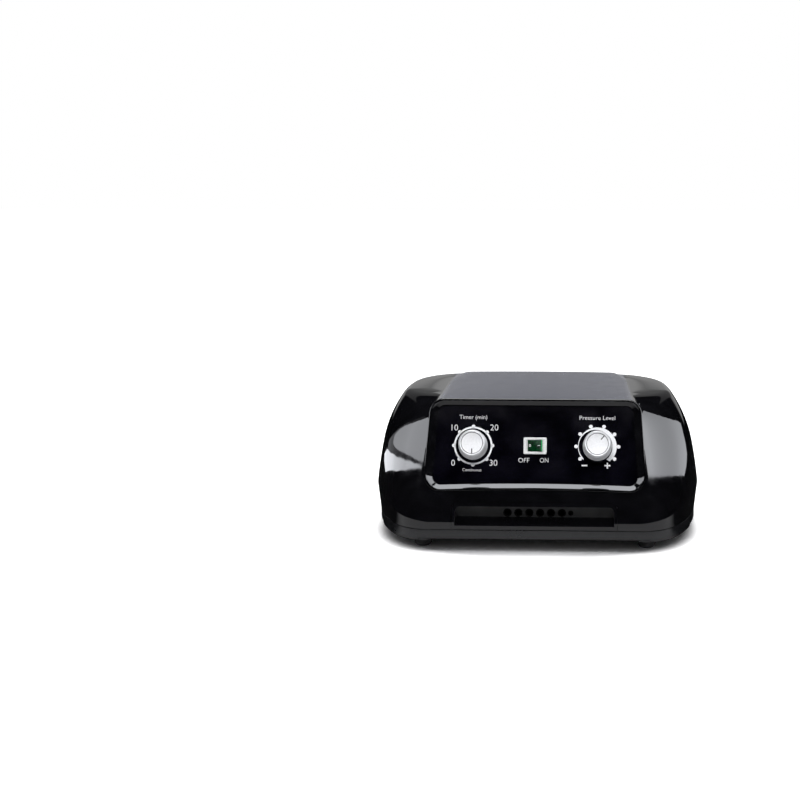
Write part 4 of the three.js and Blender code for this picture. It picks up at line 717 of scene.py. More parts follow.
def hood_solid(inset, front_y, **steps):
    """The frame's outline carried to the rear, tapering, then sinking round the roof's rear edge."""
    outline = even_outline(inset, **steps)
    roll_start = body.rear_depth - inset_at(rear_profile, 0, roof_z)
    roll = body.rear_roll - inset
    corner_y = roll_start - hood.corner_length
    corner_depth = hood.corner_length + roll * hood.reach_share

    def ring_at(y):
        past_front, past_roll = max(0, y - front_top_y), max(0, y - roll_start)
        turn = past_roll / (roll * hood.reach_share)
        back = min(1, past_front / (roll_start - front_top_y))
        flattened = (hood.proud - hood.rear_proud) * back + hood.rear_proud * turn**2
        sunk = roll - sqrt(roll**2 - past_roll**2) + flattened
        corner_turn = min(1, max(0, y - corner_y) / corner_depth)
        corner = hood.corner * (1 - sqrt(1 - corner_turn**2))
        half = rim.half_top - hood.taper_share * past_front - corner
        x = outline[:, 0] * half / rim.half_top
        z = panel_foot[2] + outline[:, 1] * cos(body.front_lean)
        return lifted(x, np.full(len(x), float(y)), z) - [0, 0, sunk]

    rings = [panel_ring(outline, front_y)]
    if inset == 0:
        front = panel_ring(even_outline(rim.fillet, **steps), front_y)
        rings = bend_through(front, rings[0], rings[0] + [0, rim.fillet, 0], 4)
    places = list(np.linspace(rings[-1][:, 1].max() + rim.fillet, corner_y, 6))
    shares = [k / hood.slices for k in range(hood.slices + 1)]
    places += [corner_y + hood.corner_length * sin(pi / 2 * share) for share in shares[1:-1]]
    places += [roll_start + roll * hood.tail_share * share for share in shares]
    return loft(rings + [ring_at(y) for y in places])


def outer_stock():
    dome = solid(*dome_solid(case_layout, offset=0, levels=30))
    return combine(dome, "UNION", solid(*hood_solid(inset=0, front_y=0)))


def cavity_tool():
    dome = solid(*dome_solid(inner_layout, offset=body.wall, levels=8))
    bulge = solid(*hood_solid(body.wall, rim.depth, corner_steps=5, edge_steps=6))
    hollow = combine(dome, "UNION", bulge)
    reach = 2 * body.half_width
    corners = box_corners((-reach, seat_depth + rim.ledge, -reach), (reach, reach, reach))
    return combine(hollow, "INTERSECT", solid(from_panel(corners), BOX_FACES))


def mouth_tool(clearance):
    half, top = port.half_width + clearance, port.top_z + clearance
    outline = arch_outline(half, body.seam_z - overrun, top, port.corner, 8)
    return bar(outline, front_end_y, port_rear_y + clearance)


def rear_tools():
    """The recess for the rear panel with the opening behind it, and the slots above."""
    height = rear.top_z - rear.bottom_z
    floor_y = rear_face_y - rear.thick - gap
    tools = []
    recess, opening = (gap, floor_y, rear_end_y), (-rear.ledge, floor_y - 5 * overrun, floor_y + overrun)
    for grow, from_y, to_y in (recess, opening):
        outline = round_rectangle(2 * (rear.half_width + grow), height + 2 * grow, rear.radius)
        tools.append(bar(shifted(outline, 0, (rear.top_z + rear.bottom_z) / 2), from_y, to_y))
    slot = slot_outline(vent.rear_length, vent.width)
    for i, side in product(range(vent.rear_count), (-1, 1)):
        x = side * (body.half_width - vent.rear_inset - vent.rear_shift * i)
        tools.append(bar(shifted(slot, x, vent.rear_z + i * vent.rear_pitch), overrun, rear_end_y))
    return tools


# The top's satin finish is rougher than the gloss. Its lighter grey-blue colour is painted reflection of
# the backdrop. Sizes: half width at the front and its loss towards the rear, where it starts, how far below
# the roof's height it reaches, and how level a face has to be
satin_painted_reflection = Sizes(half=87.5, taper_share=0.045, start=0.6, depth=2.5, level=0.8, cut_depth=12, cut_level=0.7)


def upper_shell():
    shell = combine(outer_stock(), "DIFFERENCE", cavity_tool())
    seat = panel_tool(even_outline(rim.width - gap), -overrun, seat_depth)
    window = panel_tool(chamfer_outline(1, fascia.overlap), 0, seat_depth + rim.ledge + overrun)
    combine(shell, "DIFFERENCE", seat, window, mouth_tool(gap), *rear_tools())
    mesh = take_mesh(shell)
    for side in (-1, 1):
        cut_painted_reflection_edge(mesh, side)
    piece = adopt("gloss_upper_shell", mesh, finishes["shell"], replaces=["upper_housing"])
    # faces of the satin top take the finish whose colour is painted reflection
    piece.data.materials.append(finishes["hood"])
    for face in piece.data.polygons:
        face.material_index = on_painted_reflection_top(face.center / MM, face.normal)


def cut_painted_reflection_edge(mesh, side):
    """Gives the top an edge that runs from front to back along the crease, where the gloss meets the satin
    with its painted reflection.
    """
    shape = bmesh.new()
    shape.from_mesh(mesh)
    lowest = (roof_z - satin_painted_reflection.cut_depth) * MM
    faces = [f for f in shape.faces if f.normal.z > satin_painted_reflection.cut_level and f.calc_center_median().z > lowest]
    parts = dict.fromkeys(part for face in faces for part in (*face.verts, *face.edges))
    start = Vector((side * satin_painted_reflection.half, front_top_y, 0)) * MM
    across_edge = (side, satin_painted_reflection.taper_share, 0)
    bmesh.ops.bisect_plane(shape, geom=[*faces, *parts], plane_co=start, plane_no=across_edge)
    shape.to_mesh(mesh)
    shape.free()


def on_painted_reflection_top(centre, normal):
    """Whether a face lies on the satin top of the hood, whose colour is painted reflection."""
    back = centre.y - front_top_y
    inside = abs(centre.x) < satin_painted_reflection.half - satin_painted_reflection.taper_share * back
    return inside and back > satin_painted_reflection.start and centre.z > roof_z - satin_painted_reflection.depth and normal.z > satin_painted_reflection.level


def port_mouth():
    """Recess with a sloping floor, a lip round its front and the row of ports in its back."""
    stock = combine(outer_stock(), "INTERSECT", mouth_tool(0))
    slope = (port.floor_rear_z - port.floor_front_z) / (recess_y + body.front_depth)
    floor_z = port.floor_rear_z - (recess_y - front_end_y) * slope
    rings = []
    for y, floor, ceiling in (
        (front_end_y, floor_z, port.ceiling_z),
        (recess_y, port.floor_rear_z, port.ceiling_z - port.lip),
    ):
        half, corner = port.half_width - port.side, port.corner - port.side / 2
        rings.append(across(arch_outline(half, floor, ceiling, corner, 6), y))
    half = port.half_width + overrun
    below = solid(box_corners((-half, front_end_y, 0), (half, 0, body.seam_z + gap)), BOX_FACES)
    circles = [round_outline(x, port.z, hole / 2, 32) for _, x, hole in port_holes]
    drills = [bar(circle, recess_y - overrun, 0) for circle in circles]
    combine(stock, "DIFFERENCE", below, solid(*loft(rings)), *drills)
    piece = adopt("port_mouth", take_mesh(stock), finishes["port"], replaces=["port_block"])
    piece.data.materials.append(finishes["shell"])
    for face in piece.data.polygons:
        on_lip = face.normal.y < -0.4 and face.center.y / MM < recess_y - port.lip_clear
        on_floor = face.normal.z > 0.3
        face.material_index = int(on_lip or on_floor)


# sizes of the dark cups of painted shade in the port holes
painted_shade_cup = Sizes(slack=0.1, flange=0.45, thick=0.3, throat=0.5, base=0.6, key_depth=2, manifold_lip=6)


def port_painted_shade_cups():
    """Black cups lining the port sockets, each with a thin flange on the face of the recess: painted shade,
    a dark lining that stands in for the shade deep in the holes.
    """
    socket_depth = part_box("port_manifold")[0].y / MM + painted_shade_cup.manifold_lip - recess_y
    for name, x, hole in port_holes:
        bore = hole / 2
        depth = painted_shade_cup.key_depth if name == "key" else socket_depth
        outer, flange, front = bore - painted_shade_cup.slack, bore + painted_shade_cup.flange, depth + painted_shade_cup.thick
        profile = [
            (0, 0), (outer, 0), (outer, depth), (flange, depth), (flange, front),
            (bore - painted_shade_cup.throat, front), (bore - painted_shade_cup.base, painted_shade_cup.base), (0, painted_shade_cup.base),
        ]
        points, faces = lathe(rounded(profile, 0.12, 3), 40)
        points = [(px + x, recess_y + depth - pz, py + port.z) for px, py, pz in points]
        make("port_painted_shade_cup_" + name, points, faces, finishes["painted_shade_cup"], slot="rubber")


def middle_of(node):
    """Centre in x and y of a node's box, in millimetres."""
    low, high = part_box(node)
    x, y, _ = (low + high) / 2 / MM
    return x, y


def lower_tray():
    every = np.ones(len(case_layout))
    seam = wall_insets(0, body.seam_z)
    top = body.seam_z - gap

    def ring(inset, z):
        x, y, _, _ = plan_points(case_layout, *(value + inset for value in seam))
        return np.stack([x, y, z * every], 1)

    def lower_rings(bottom):
        edge, step = tray.edge_inset, body.seam_fillet
        rings = bend_through(ring(edge, bottom), ring(0, bottom), ring(0, bottom + edge), 5)
        return rings + bend_through(ring(0, top - step), ring(0, top), ring(step, top), 3)

    shell = solid(*loft(lower_rings(tray.bottom_z)))
    inside = solid(*loft([ring(body.wall, tray.bottom_z + tray.floor), ring(body.wall, top + overrun)]))
    half = port.half_width + gap
    mouth = solid(box_corners((-half, front_end_y, top), (half, port_rear_y + gap, port.top_z)), BOX_FACES)
    combine(shell, "DIFFERENCE", inside, mouth)

    lowered = loft([ring(tray.edge_inset * 2, tray.pad_z)] + lower_rings(tray.pad_z))
    narrow, wide = tray.corner_radius - tray.corner_flare, tray.corner_radius + tray.corner_flare
    corner = [(0, 0), (narrow, 0), (wide, tray.pad_height), (0, tray.pad_height)]
    for side_x, side_y in product((-1, 1), (-1, 1)):
        x = side_x * (body.half_width - tray.corner_inset)
        y = side_y * (body.front_depth - tray.corner_inset)
        tool = solid(*upright(corner, 64, x, y, tray.pad_z))
        combine(shell, "UNION", combine(solid(*lowered), "INTERSECT", tool))
    pad = [(0, 0), *((tray.pad_radius, z) for z in (0, 1, tray.pad_height)), (0, tray.pad_height)]
    for name in CORNERS:
        combine(shell, "UNION", solid(*upright(pad, 48, *middle_of("foot_" + name), tray.pad_z)))
    hole = [(0, 0), (tray.screw_hole, 0), (tray.screw_hole, tray.screw_depth), (0, tray.screw_depth)]
    for name in CORNERS:
        tool = upright(hole, 40, *middle_of("case_screw_" + name), tray.pad_z - tray.screw_mouth)
        combine(shell, "DIFFERENCE", solid(*tool))

    low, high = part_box("compressor_base")
    pump_x, pump_y = (low.x + high.x) / 2 / MM, (low.y + high.y) / 2 / MM
    slot = slot_outline(vent.width, vent.floor_length)
    for i in range(vent.floor_count):
        x = pump_x + (i - (vent.floor_count - 1) / 2) * vent.floor_pitch
        combine(shell, "DIFFERENCE", post(shifted(slot, x, pump_y), 0, tray.bottom_z + 2 * overrun))
    adopt("lower_tray", take_mesh(shell), finishes["tray"], replaces=["base_tray"])


foot = Sizes(toe_inset=2.2, toe=2.4, height=7.5, stem=2.4, top=11.5, rounding=1.6)
screw = Sizes(socket=1.2, head=3, head_height=2.2, shank=1.5, point=2, rounding=0.3)


def feet_and_screws():
    for corner in CORNERS:
        node = "foot_" + corner
        low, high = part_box(node)
        radius = (high.x - low.x) / 2 / MM
        profile = rounded([
            (0, 0), (radius - foot.toe_inset, 0), (radius, foot.toe), (radius, foot.height),
            (foot.stem, foot.height), (foot.stem, foot.top), (0, foot.top),
        ], foot.rounding, 5)
        points, faces = upright(profile, 48, *middle_of(node), 0)
        make("rubber_" + node, points, faces, finishes["rubber"], replaces=[node], slot="rubber")
        node = "case_screw_" + corner
        bottom, top = (end.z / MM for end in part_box(node))
        length = top - bottom
        profile = rounded([
            (0, screw.socket), (screw.socket, screw.socket), (screw.socket, 0), (screw.head, 0),
            (screw.head, screw.head_height), (screw.shank, screw.head_height),
            (screw.shank, length - screw.point), (0, length),
        ], screw.rounding, 2)
        points, faces = upright(profile, 32, *middle_of(node), bottom)
        make("screw_" + corner, points, faces, finishes["steel"], replaces=[node], slot="steel")


# Front panel

bezel = Sizes(lip=0.55, lip_round=0.4, crest_y=0.12, fall=0.695, slope_y=0.1)
bezel.slope_shares = (0.2, 0.4, 0.6, 0.8, 0.93)


def front_bezel():
    """The frame: up its outer side, over a rounded lip, down the chamfer and back along its inner side."""
    chamfer_depth = rim.depth - rim.land
    side, inner = even_outline(rim.width), chamfer_outline(1)
    crest = panel_ring(even_outline(rim.width + bezel.lip), bezel.crest_y)
    slope = [
        panel_ring(chamfer_outline(share), chamfer_depth * share * bezel.fall + bezel.slope_y)
        for share in bezel.slope_shares
    ]
    rings = [panel_ring(side, rim.depth), panel_ring(side, bezel.lip + bezel.lip_round)]
    rings += bend_through(rings[-1], panel_ring(side, 0), crest, 4)[1:]
    rings += bend_through(crest, crest * 0.5 + slope[0] * 0.5, slope[0], 3)[1:]
    rings += slope[1:]
    rings += bend_through(rings[-1], panel_ring(inner, chamfer_depth), panel_ring(inner, rim.depth), 3)[1:]
    points, faces = loft([*rings, rings[0]], closed_ends=False)
    make("front_bezel", points, faces, finishes["shell"], replaces=["panel_bezel"], slot="shell")


knob = Sizes(
    radius=13.1, face=10.4, bevel=2.6, height=15.6, skirt=2.4, step=0.5, running=0.8, wall=1.8,
    hollow=5, draft=0.25, face_edge=0.35, face_step=(0.15, 0.25), dish=0.1, rounding=0.35,
    # ring and the ring's drops place the dark ring of painted shade on the knob's face
    ring=(0.55, 1.05), ring_drops=(0.3, 0.06), pointer=(1.1, 5, 0.4), pointer_end=0.6,
    inlay_slack=0.15, inlay_round=0.1, inlay_heights=(0.05, 0.12), time_rest=radians(180),
    pressure_rest=radians(39),
)
fascia_y = rim.depth + fascia.seat
knob_foot_y = fascia_y - knob.running


def control_knob(name, node, x, rest):
    """A knob with its pointer and a dark ring on its face near the edge, painted shade for the groove
    there, which all turn with the knob's body.
    """
    outer = knob.radius - knob.step
    bore = outer - knob.wall
    face_in, face_down = knob.face_step
    stock = solid(*lathe(rounded([
        (0, knob.hollow), (bore, knob.hollow), (bore, 0), (knob.radius, 0), (knob.radius, knob.skirt),
        (outer, knob.skirt + knob.step), (outer - knob.draft, knob.height - knob.bevel),
        (knob.face + knob.face_edge, knob.height), (knob.face - face_in, knob.height - face_down),
        (0, knob.height - knob.dish),
    ], knob.rounding, 3), 128))
    width, length, depth = knob.pointer
    y, floor = knob.face - length / 2 - knob.pointer_end, knob.height - depth
    combine(stock, "DIFFERENCE", post(shifted(slot_outline(width, length), 0, y), floor, knob.height + 2))
    slack = knob.inlay_slack
    outline = round_rectangle(width - slack, length - slack, width / 2 - knob.inlay_round)
    inlay = post(shifted(outline, 0, y), floor - knob.inlay_heights[0], floor + knob.inlay_heights[1])
    # a dark flat ring at the face's edge: painted shade and reflection of the groove between face and bevel
    radii = [knob.face - inset for inset in knob.ring]
    heights = [knob.height - drop for drop in knob.ring_drops]
    ring = solid(*flat_ring(*radii, *heights))
    for piece, part, look, stands_for in (
        (name, stock, "silver", [node]),
        (name + "_pointer", inlay, "dark", ()),
        (name + "_ring", ring, "dark", ()),
    ):
        mesh = take_mesh(part)
        place_mesh(mesh, x, knob_foot_y, controls.height, rest)
        adopt(piece, mesh, finishes[look], node, stands_for)


def flat_ring(outer, inner, low, high):
    """Points and faces of a flat ring about +Z."""
    corners = ((outer, low), (outer, high), (inner, high), (inner, low), (outer, low))
    return loft([ring_about_z(radius, height, 96) for radius, height in corners], closed_ends=False)


def place_mesh(mesh, x, y, s, rest=0):
    """Moves a mesh drawn in metres, facing +Z, to its place on the panel."""
    points = face_out([[c / MM for c in v.co] for v in mesh.vertices], x, y, s, rest)
    for vertex, place in zip(mesh.vertices, points):
        vertex.co = Vector(place) * MM


rocker = Sizes(
    frame=(20.8, 15), body=(18.8, 12.8), mouth=(15.4, 10.8), thick=2, radius=1.2,
    frame_round=0.55, mouth_radius=0.4, body_depth=17, well=7.5, well_rim=0.9, swing=radians(9),
    crown=1.4, dip=1, pivot_depth=2.5, foot_half=4.6, foot_depth=3, edge=0.4, edge_share=0.3,
    end_share=0.8, mark_x=4.1, mark_radius=1.15, mark_squeeze=0.8, mark_line=0.42, mark_depth=0.04,
)
switch_y = fascia_y - rocker.thick - gap
pivot_y = switch_y + rocker.pivot_depth


def switch_frame():
    """White frame with rounded edges, its body behind the panel, and a dark sleeve in the well round the
    rocker that is painted shade for the gap.
    """

    def ring(size, radius, y, grow=0):
        outline = np.array(round_rectangle(size[0] + grow, size[1] + grow, radius)) + [0, controls.height]
        return panel_ring(outline, switch_y + y)

    edge, radius, corner = rocker.frame_round, rocker.radius, rocker.mouth_radius
    outer = [
        ring(rocker.body, radius, rocker.body_depth),
        ring(rocker.body, radius, rocker.thick),
        ring(rocker.frame, radius, rocker.thick),
    ]
    outer += bend_through(
        ring(rocker.frame, radius, edge),
        ring(rocker.frame, radius, 0),
        ring(rocker.frame, radius, 0, -2 * edge),
        4,
    )
    flared, front = ring(rocker.mouth, 0.6, 0, 0.5), ring(rocker.mouth, corner, 0)
    inner = bend_through(flared, front, ring(rocker.mouth, corner, 0.3), 3)
    inner.append(ring(rocker.mouth, corner, rocker.well_rim))
    points, faces = loft([*outer, *inner])
    make("switch_frame", points, faces, finishes["white"], replaces=["switch_housing"], slot="white")
    # painted shade: a dark sleeve lines the gap round the rocker
    well = [
        ring(rocker.mouth, corner, y, grow)
        for y, grow in ((0.5, -0.02), (rocker.well, -0.02), (rocker.well, -1), (rocker.well_rim, -1))
    ]
    make("switch_well_painted_shade", *loft(well, False), finishes["dark"])


def rocker_paddle():
    """Green paddle with a dished face, rounded along its edges, at rest with its left end pressed."""
    rise = rocker.pivot_depth + rocker.crown
    half = (rocker.mouth[0] / 2 - gap - rise * sin(rocker.swing)) / cos(rocker.swing)
    face = [(half * t, rocker.dip * (1 - t**2) - rise) for t in np.linspace(-1, 1, 13)]
    foot_half, foot_depth = rocker.foot_half, rocker.foot_depth
    back = [(half, 0), (foot_half, foot_depth), (-foot_half, foot_depth), (-half, 0)]
    section = np.array(rounded([*face, *back, face[0]], rocker.edge, 2)[1:-1])
    outward = section - section.mean(0)
    outward /= np.linalg.norm(outward, axis=1)[:, None]
    end, edge, soft = rocker.mouth[1] / 2 - gap, rocker.edge, rocker.edge * rocker.edge_share
    low_rings = [(-end, edge), (soft - end, soft), (edge - end, 0)]
    rings = []
    for s, inset in low_rings + [(-s, inset) for s, inset in low_rings[::-1]]:
        rings.append([on_rocker(x, y, s) for x, y in section - outward * inset])
    points, faces = loft(rings)
    paddle = make(
        "rocker_paddle", points, faces, finishes["rocker"], "power_rocker", ["switch_rocker"], "rocker"
    )
    # painted glow: faces at the paddle's right end take the bright green that stands for light gathered in
    # the lens
    paddle.data.materials.append(finishes["rocker_painted_glow"])
    for face in paddle.data.polygons:
        face.material_index = int(face.center.x / MM > half * rocker.end_share)

    def on_face(x, s, aside=0):
        """A point on the dished face; aside moves it along x at the same depth."""
        depth = rise + rocker.mark_depth - rocker.dip * (1 - (x / half) ** 2)
        return on_rocker(x + aside, -depth, s)

    mark_x, line = rocker.mark_x, rocker.mark_line
    turns = np.linspace(0, 2 * pi, 32, endpoint=False)
    rings = []
    for radius in (rocker.mark_radius, rocker.mark_radius - line):
        circle = [(radius * cos(t), radius * sin(t)) for t in turns]
        rings.append([on_face(u - mark_x, w, u * (rocker.mark_squeeze - 1)) for u, w in circle])
    add_print("rocker_mark_off", *loft(rings, False), "power_rocker")
    corners, faces = rectangle(mark_x, 0, 2, line)
    add_print("rocker_mark_on", [on_face(x, s) for x, s in corners], faces, "power_rocker")


def on_rocker(x, y, s):
    """A point of the rocker, drawn about its pivot, in the row frame at rest."""
    turned_x = x * cos(rocker.swing) + y * sin(rocker.swing)
    turned_y = -x * sin(rocker.swing) + y * cos(rocker.swing)
    return tuple(from_panel([[turned_x, pivot_y + turned_y, controls.height + s]])[0])


# Printing: flat ink a little above the panel

ink = Sizes(
    lift=0.05, dot=1.7, time_ring=(17.35, 15.75), pressure_ring=(17.4, 15.2, -135, 140, -1.6),
    pressure_dots=19, capital_share=0.72, bolder=-0.008, line=1.3,
)
# Each label: its words, place across and up the panel, height of its capitals and, for some, width
LABELS = {
    "label_10": ("10", -72.7, 86.3, 5.6),
    "label_20": ("20", -37, 86.6, 5.6),
    "label_0": ("0", -73.6, 54.2, 5.6),
    "label_30": ("30", -37.3, 54.5, 5.6),
    "label_timer": ("Timer (min)", -56.1, 96, 3.9, 25),
    "label_continuous": ("Continuous", -56.6, 47.9, 2.8, 17),
    "label_pressure": ("Pressure Level", 55.7, 96, 3.9, 32),
    "label_off": ("OFF", -10, 57, 4.2, 9.9),
    "label_on": ("ON", 8.2, 57.1, 4.2, 7.7),
}


def add_print(name, points, faces, on="case"):
    return make(name, points, faces, finishes["print"], on)


def ink_shape(name, *shapes):
    """One printed piece from flat shapes in x and s, each given as points and faces."""
    points, faces = [], []
    for shape_points, shape_faces in shapes:
        first = len(points)
        points += [(x, fascia_y - ink.lift, s) for x, s in shape_points]
        faces += [tuple(first + i for i in face) for face in shape_faces]
    add_print(name, from_panel(points), faces)


def ring_of_dots(name, x, reach, degrees):
    """Dots round a knob, their places in degrees clockwise from up."""
    for i, turn in enumerate(np.radians(degrees)):
        outline = round_outline(x + reach * sin(turn), controls.height + reach * cos(turn), ink.dot, 24)
        ink_shape(f"{name}_{i + 1}", (outline, [tuple(range(24))[::-1]]))


def annulus(x, s, outer, inner, start=0, end=360, shift=0, sides=96):
    """A ring, or part of one, clockwise from up in degrees; shift moves the inner circle sideways."""
    whole = end - start >= 360
    turns = np.radians(np.linspace(start, end, sides, endpoint=not whole))
    points = [(x + outer * sin(t), s + outer * cos(t)) for t in turns]
    points += [(x + shift + inner * sin(t), s + inner * cos(t)) for t in turns]
    count = sides if whole else sides - 1
    faces = [(i, (i + 1) % sides, sides + (i + 1) % sides, sides + i) for i in range(count)]
    return points, faces


def rectangle(x, s, width, height):
    w, h = width / 2, height / 2
    return [(x - w, s - h), (x + w, s - h), (x + w, s + h), (x - w, s + h)], [(0, 1, 2, 3)]


def label(name, text, x, s, height, width=None):
    """A word or number, its capitals as tall as height, centred on x and s."""
    curve = bpy.data.curves.new(name, "FONT")
    curve.body = text
    curve.resolution_u = 6
    curve.offset = ink.bolder
    holder = new_object(name + "_curve", curve)
    mesh = shaped_mesh(holder)
    bpy.data.objects.remove(holder)
    flat = np.array([v.co for v in mesh.vertices])
    low, high = flat.min(0), flat.max(0)
    scale = height / ink.capital_share
    stretch = width / (scale * (high[0] - low[0])) if width else 1
    middle = (low + high) / 2
    for vertex in mesh.vertices:
        u = (vertex.co.x - middle[0]) * scale * stretch
        w = (vertex.co.y - ink.capital_share / 2) * scale
        vertex.co = Vector((u, w, ink.lift)) * MM
    place_mesh(mesh, x, fascia_y, s)
    adopt(name, mesh, finishes["print"])


def panel_printing():
    left, right, s = -controls.knob_x, controls.knob_x, controls.height
    ink_shape("time_scale", annulus(left, s, *ink.time_ring))
    ring_of_dots("time_bead", left, ink.time_ring[0], range(0, 360, 45))
    ink_shape("pressure_scale", annulus(right, s, *ink.pressure_ring))
    ring_of_dots("pressure_dot", right, ink.pressure_dots, range(-126, 127, 36))
    for name, (text, *place) in LABELS.items():
        label(name, text, *place)
    ink_shape("mark_less", rectangle(x=44.4, s=52.5, width=5.2, height=ink.line))
    x, s, reach = 64.9, 52.6, 2.7
    stem = reach - ink.line / 2
    ink_shape("mark_more_bar", rectangle(x, s, 2 * reach, ink.line))
    halves = [rectangle(x, s + side * (reach - stem / 2), ink.line, stem) for side in (1, -1)]
    ink_shape("mark_more_stem", *halves)


# Rear fittings keep the model's shape with their edges eased


def eased(node, slot, width):
    copy = new_object(node + "_eased", frame["nodes"][node].data.copy())
    bevel = copy.modifiers.new("edges", "BEVEL")
    bevel.width = width * MM
    bevel.segments = 2
    bevel.limit_method = "ANGLE"
    bevel.angle_limit = SMOOTH_BELOW
    mesh = shaped_mesh(copy)
    bpy.data.objects.remove(copy)
    adopt(node + "_eased", mesh, finishes[slot], replaces=[node])


def rear_fittings():
    for node, slot, width in (
        ("rear_panel", "tray", 0.4),
        ("mains_inlet", "dark", 0.4),
        ("inlet_pin_live", "steel", 0.3),
        ("inlet_pin_earth", "steel", 0.3),
        ("inlet_pin_neutral", "steel", 0.3),
        ("fuse_holder", "dark", 0.3),
        ("fuse_cap", "dark", 0.3),
    ):
        eased(node, slot, width)


def inner_nodes():
    slots = {part["node"]: part["material_slot"] for part in frame["record"]["subparts"]}
    for node, holder in frame["nodes"].items():
        dress(holder, finishes[slots[node]])


# Studio, in metres


def look_at(holder, place, target):
    holder.location = place
    holder.rotation_euler = (Vector(target) - Vector(place)).to_track_quat("-Z", "Y").to_euler()


def direction(azimuth, elevation):
    """Unit vector from the object: azimuth 0 is the front, 90 the right, in degrees."""
    a, e = radians(azimuth), radians(elevation)
    return Vector((sin(a) * cos(e), -cos(a) * cos(e), sin(e)))


def camera():
    """The photograph's view: a little from the right, from above, the frame shifted round the object."""
    frame_pixels, view_width = 800, 36
    target = Vector((0, -60, 75)) * MM
    distance, focal_pixels = 1.3, 1436.5
    target_pixel = (535.4, 459.6)
    data = bpy.data.cameras.new("camera")
    data.sensor_width = view_width
    data.lens = focal_pixels / frame_pixels * view_width
    data.shift_x = -(target_pixel[0] - frame_pixels / 2) / frame_pixels
    data.shift_y = (target_pixel[1] - frame_pixels / 2) / frame_pixels
    holder = new_object("camera", data)
    look_at(holder, target + direction(azimuth=2, elevation=14) * distance, target)
    bpy.context.scene.camera = holder


def softbox(name, azimuth, elevation, distance, width, height, radiance):
    target = Vector((0, 0, 0.06))
    data = bpy.data.lights.new(name, "AREA")
    data.shape = "RECTANGLE"
    data.size = width
    data.size_y = height
    data.energy = radiance * width * height * pi
    holder = new_object(name, data)
    look_at(holder, target + direction(azimuth, elevation) * distance, target)
    holder.visible_camera = False
    return holder


# Outlines of the glowing cards along y and z, each in a plane beside the object
left_disc = (
    (-0.495, 1.182), (-0.374, 0.886), (-0.242, 0.684), (-0.138, 0.553), (0.003, 0.452),
    (0.122, 0.377), (0.242, 0.31), (0.358, 0.243), (0.443, 0.193), (0.468, 0.164), (0.455, 0.129),
    (0.406, 0.131), (0.295, 0.16), (0.136, 0.211), (-0.028, 0.273), (-0.296, 0.386),
    (-0.673, 0.562), (-0.952, 0.704), (-1.306, 0.891), (-1.5, 1.0), (-1.5, 1.4), (-0.56, 1.4),
)
left_rim = (
    (-0.354, 1.268), (-0.259, 0.95), (-0.09, 0.584), (0.182, 0.37), (0.381, 0.265), (0.509, 0.191),
    (0.628, 0.12), (0.754, 0.052), (0.78, 0.019), (0.767, 0.003), (0.68, 0.003), (0.622, 0.026),
    (0.497, 0.059), (0.11, 0.193), (-0.098, 0.279), (-0.279, 0.359), (-0.707, 0.566),
    (-1.368, 0.912), (-1.6, 1.05), (-1.6, 1.5),
)
left_wedge = (
    (0.3, 0.04), (0.177, 0.07), (0.011, 0.125), (-0.158, 0.196), (-0.18, 0.188), (-0.02, 0.113),
    (0.02, 0.097), (0.14, 0.052), (0.247, 0.013), (0.353, 0.002), (0.4, 0.002),
)
left_tip = (
    (-0.279, 0.359), (-0.707, 0.566), (-1.368, 0.912), (-1.361, 0.9), (-0.743, 0.569),
    (-0.327, 0.353),
)
right_panel = (
    (0.097, 2.125), (0.021, 1.641), (0.012, 1.261), (0.049, 0.927), (0.141, 0.672), (0.272, 0.502),
    (0.459, 0.357), (0.798, 0.194), (0.727, 0.13), (0.73, 0.044), (0.722, 0.003), (0.59, 0.005),
    (0.453, 0.019), (0.152, 0.132), (-0.121, 0.249), (-0.385, 0.375), (-0.673, 0.521),
    (-1.1, 0.748), (-1.757, 1.107), (-1.9, 1.25), (-1.9, 2.1),
)


def beside(x, outline):
    return [(x, y, z) for y, z in outline]


def flat_mesh(name, points):
    mesh = bpy.data.meshes.new(name)
    mesh.from_pydata(points, [], [tuple(range(len(points)))])
    return mesh


def studio_card(name, points, from_y, to_y, from_glow, to_glow):
    """A glowing diffuser round the object, its glow going from one level to another along y."""
    card = new_object(name, flat_mesh(name, points))
    material = bpy.data.materials.new(name)
    material.use_nodes = True
    tree = material.node_tree
    tree.nodes.clear()
    place = add_node(tree, "TexCoord").outputs["Object"]
    y = add_node(tree, "SeparateXYZ", Vector=place).outputs["Y"]
    ends = {"From_Min": from_y, "From_Max": to_y, "To_Min": from_glow, "To_Max": to_glow}
    fade = add_node(tree, "MapRange", Value=y, **ends)
    glow = add_node(tree, "Emission", Color=(0.93, 0.95, 1, 1), Strength=fade.outputs["Result"])
    add_node(tree, "OutputMaterial", Surface=glow.outputs["Emission"])
    card.data.materials.append(material)
    card.visible_camera = False
    card.visible_diffuse = False
    card.visible_shadow = False


def math_node(tree, operation, *values):
    node = tree.nodes.new("ShaderNodeMath")
    node.operation = operation
    feed(tree, node, dict(enumerate(values)))
    return node.outputs["Value"]


def ramp_node(tree, value, low, high):
    """From 0 to 1 as the value goes from low to high, smoothly."""
    spread = add_node(tree, "MapRange", Value=value, From_Min=low, From_Max=high)
    spread.interpolation_type = "SMOOTHSTEP"
    return spread.outputs["Result"]


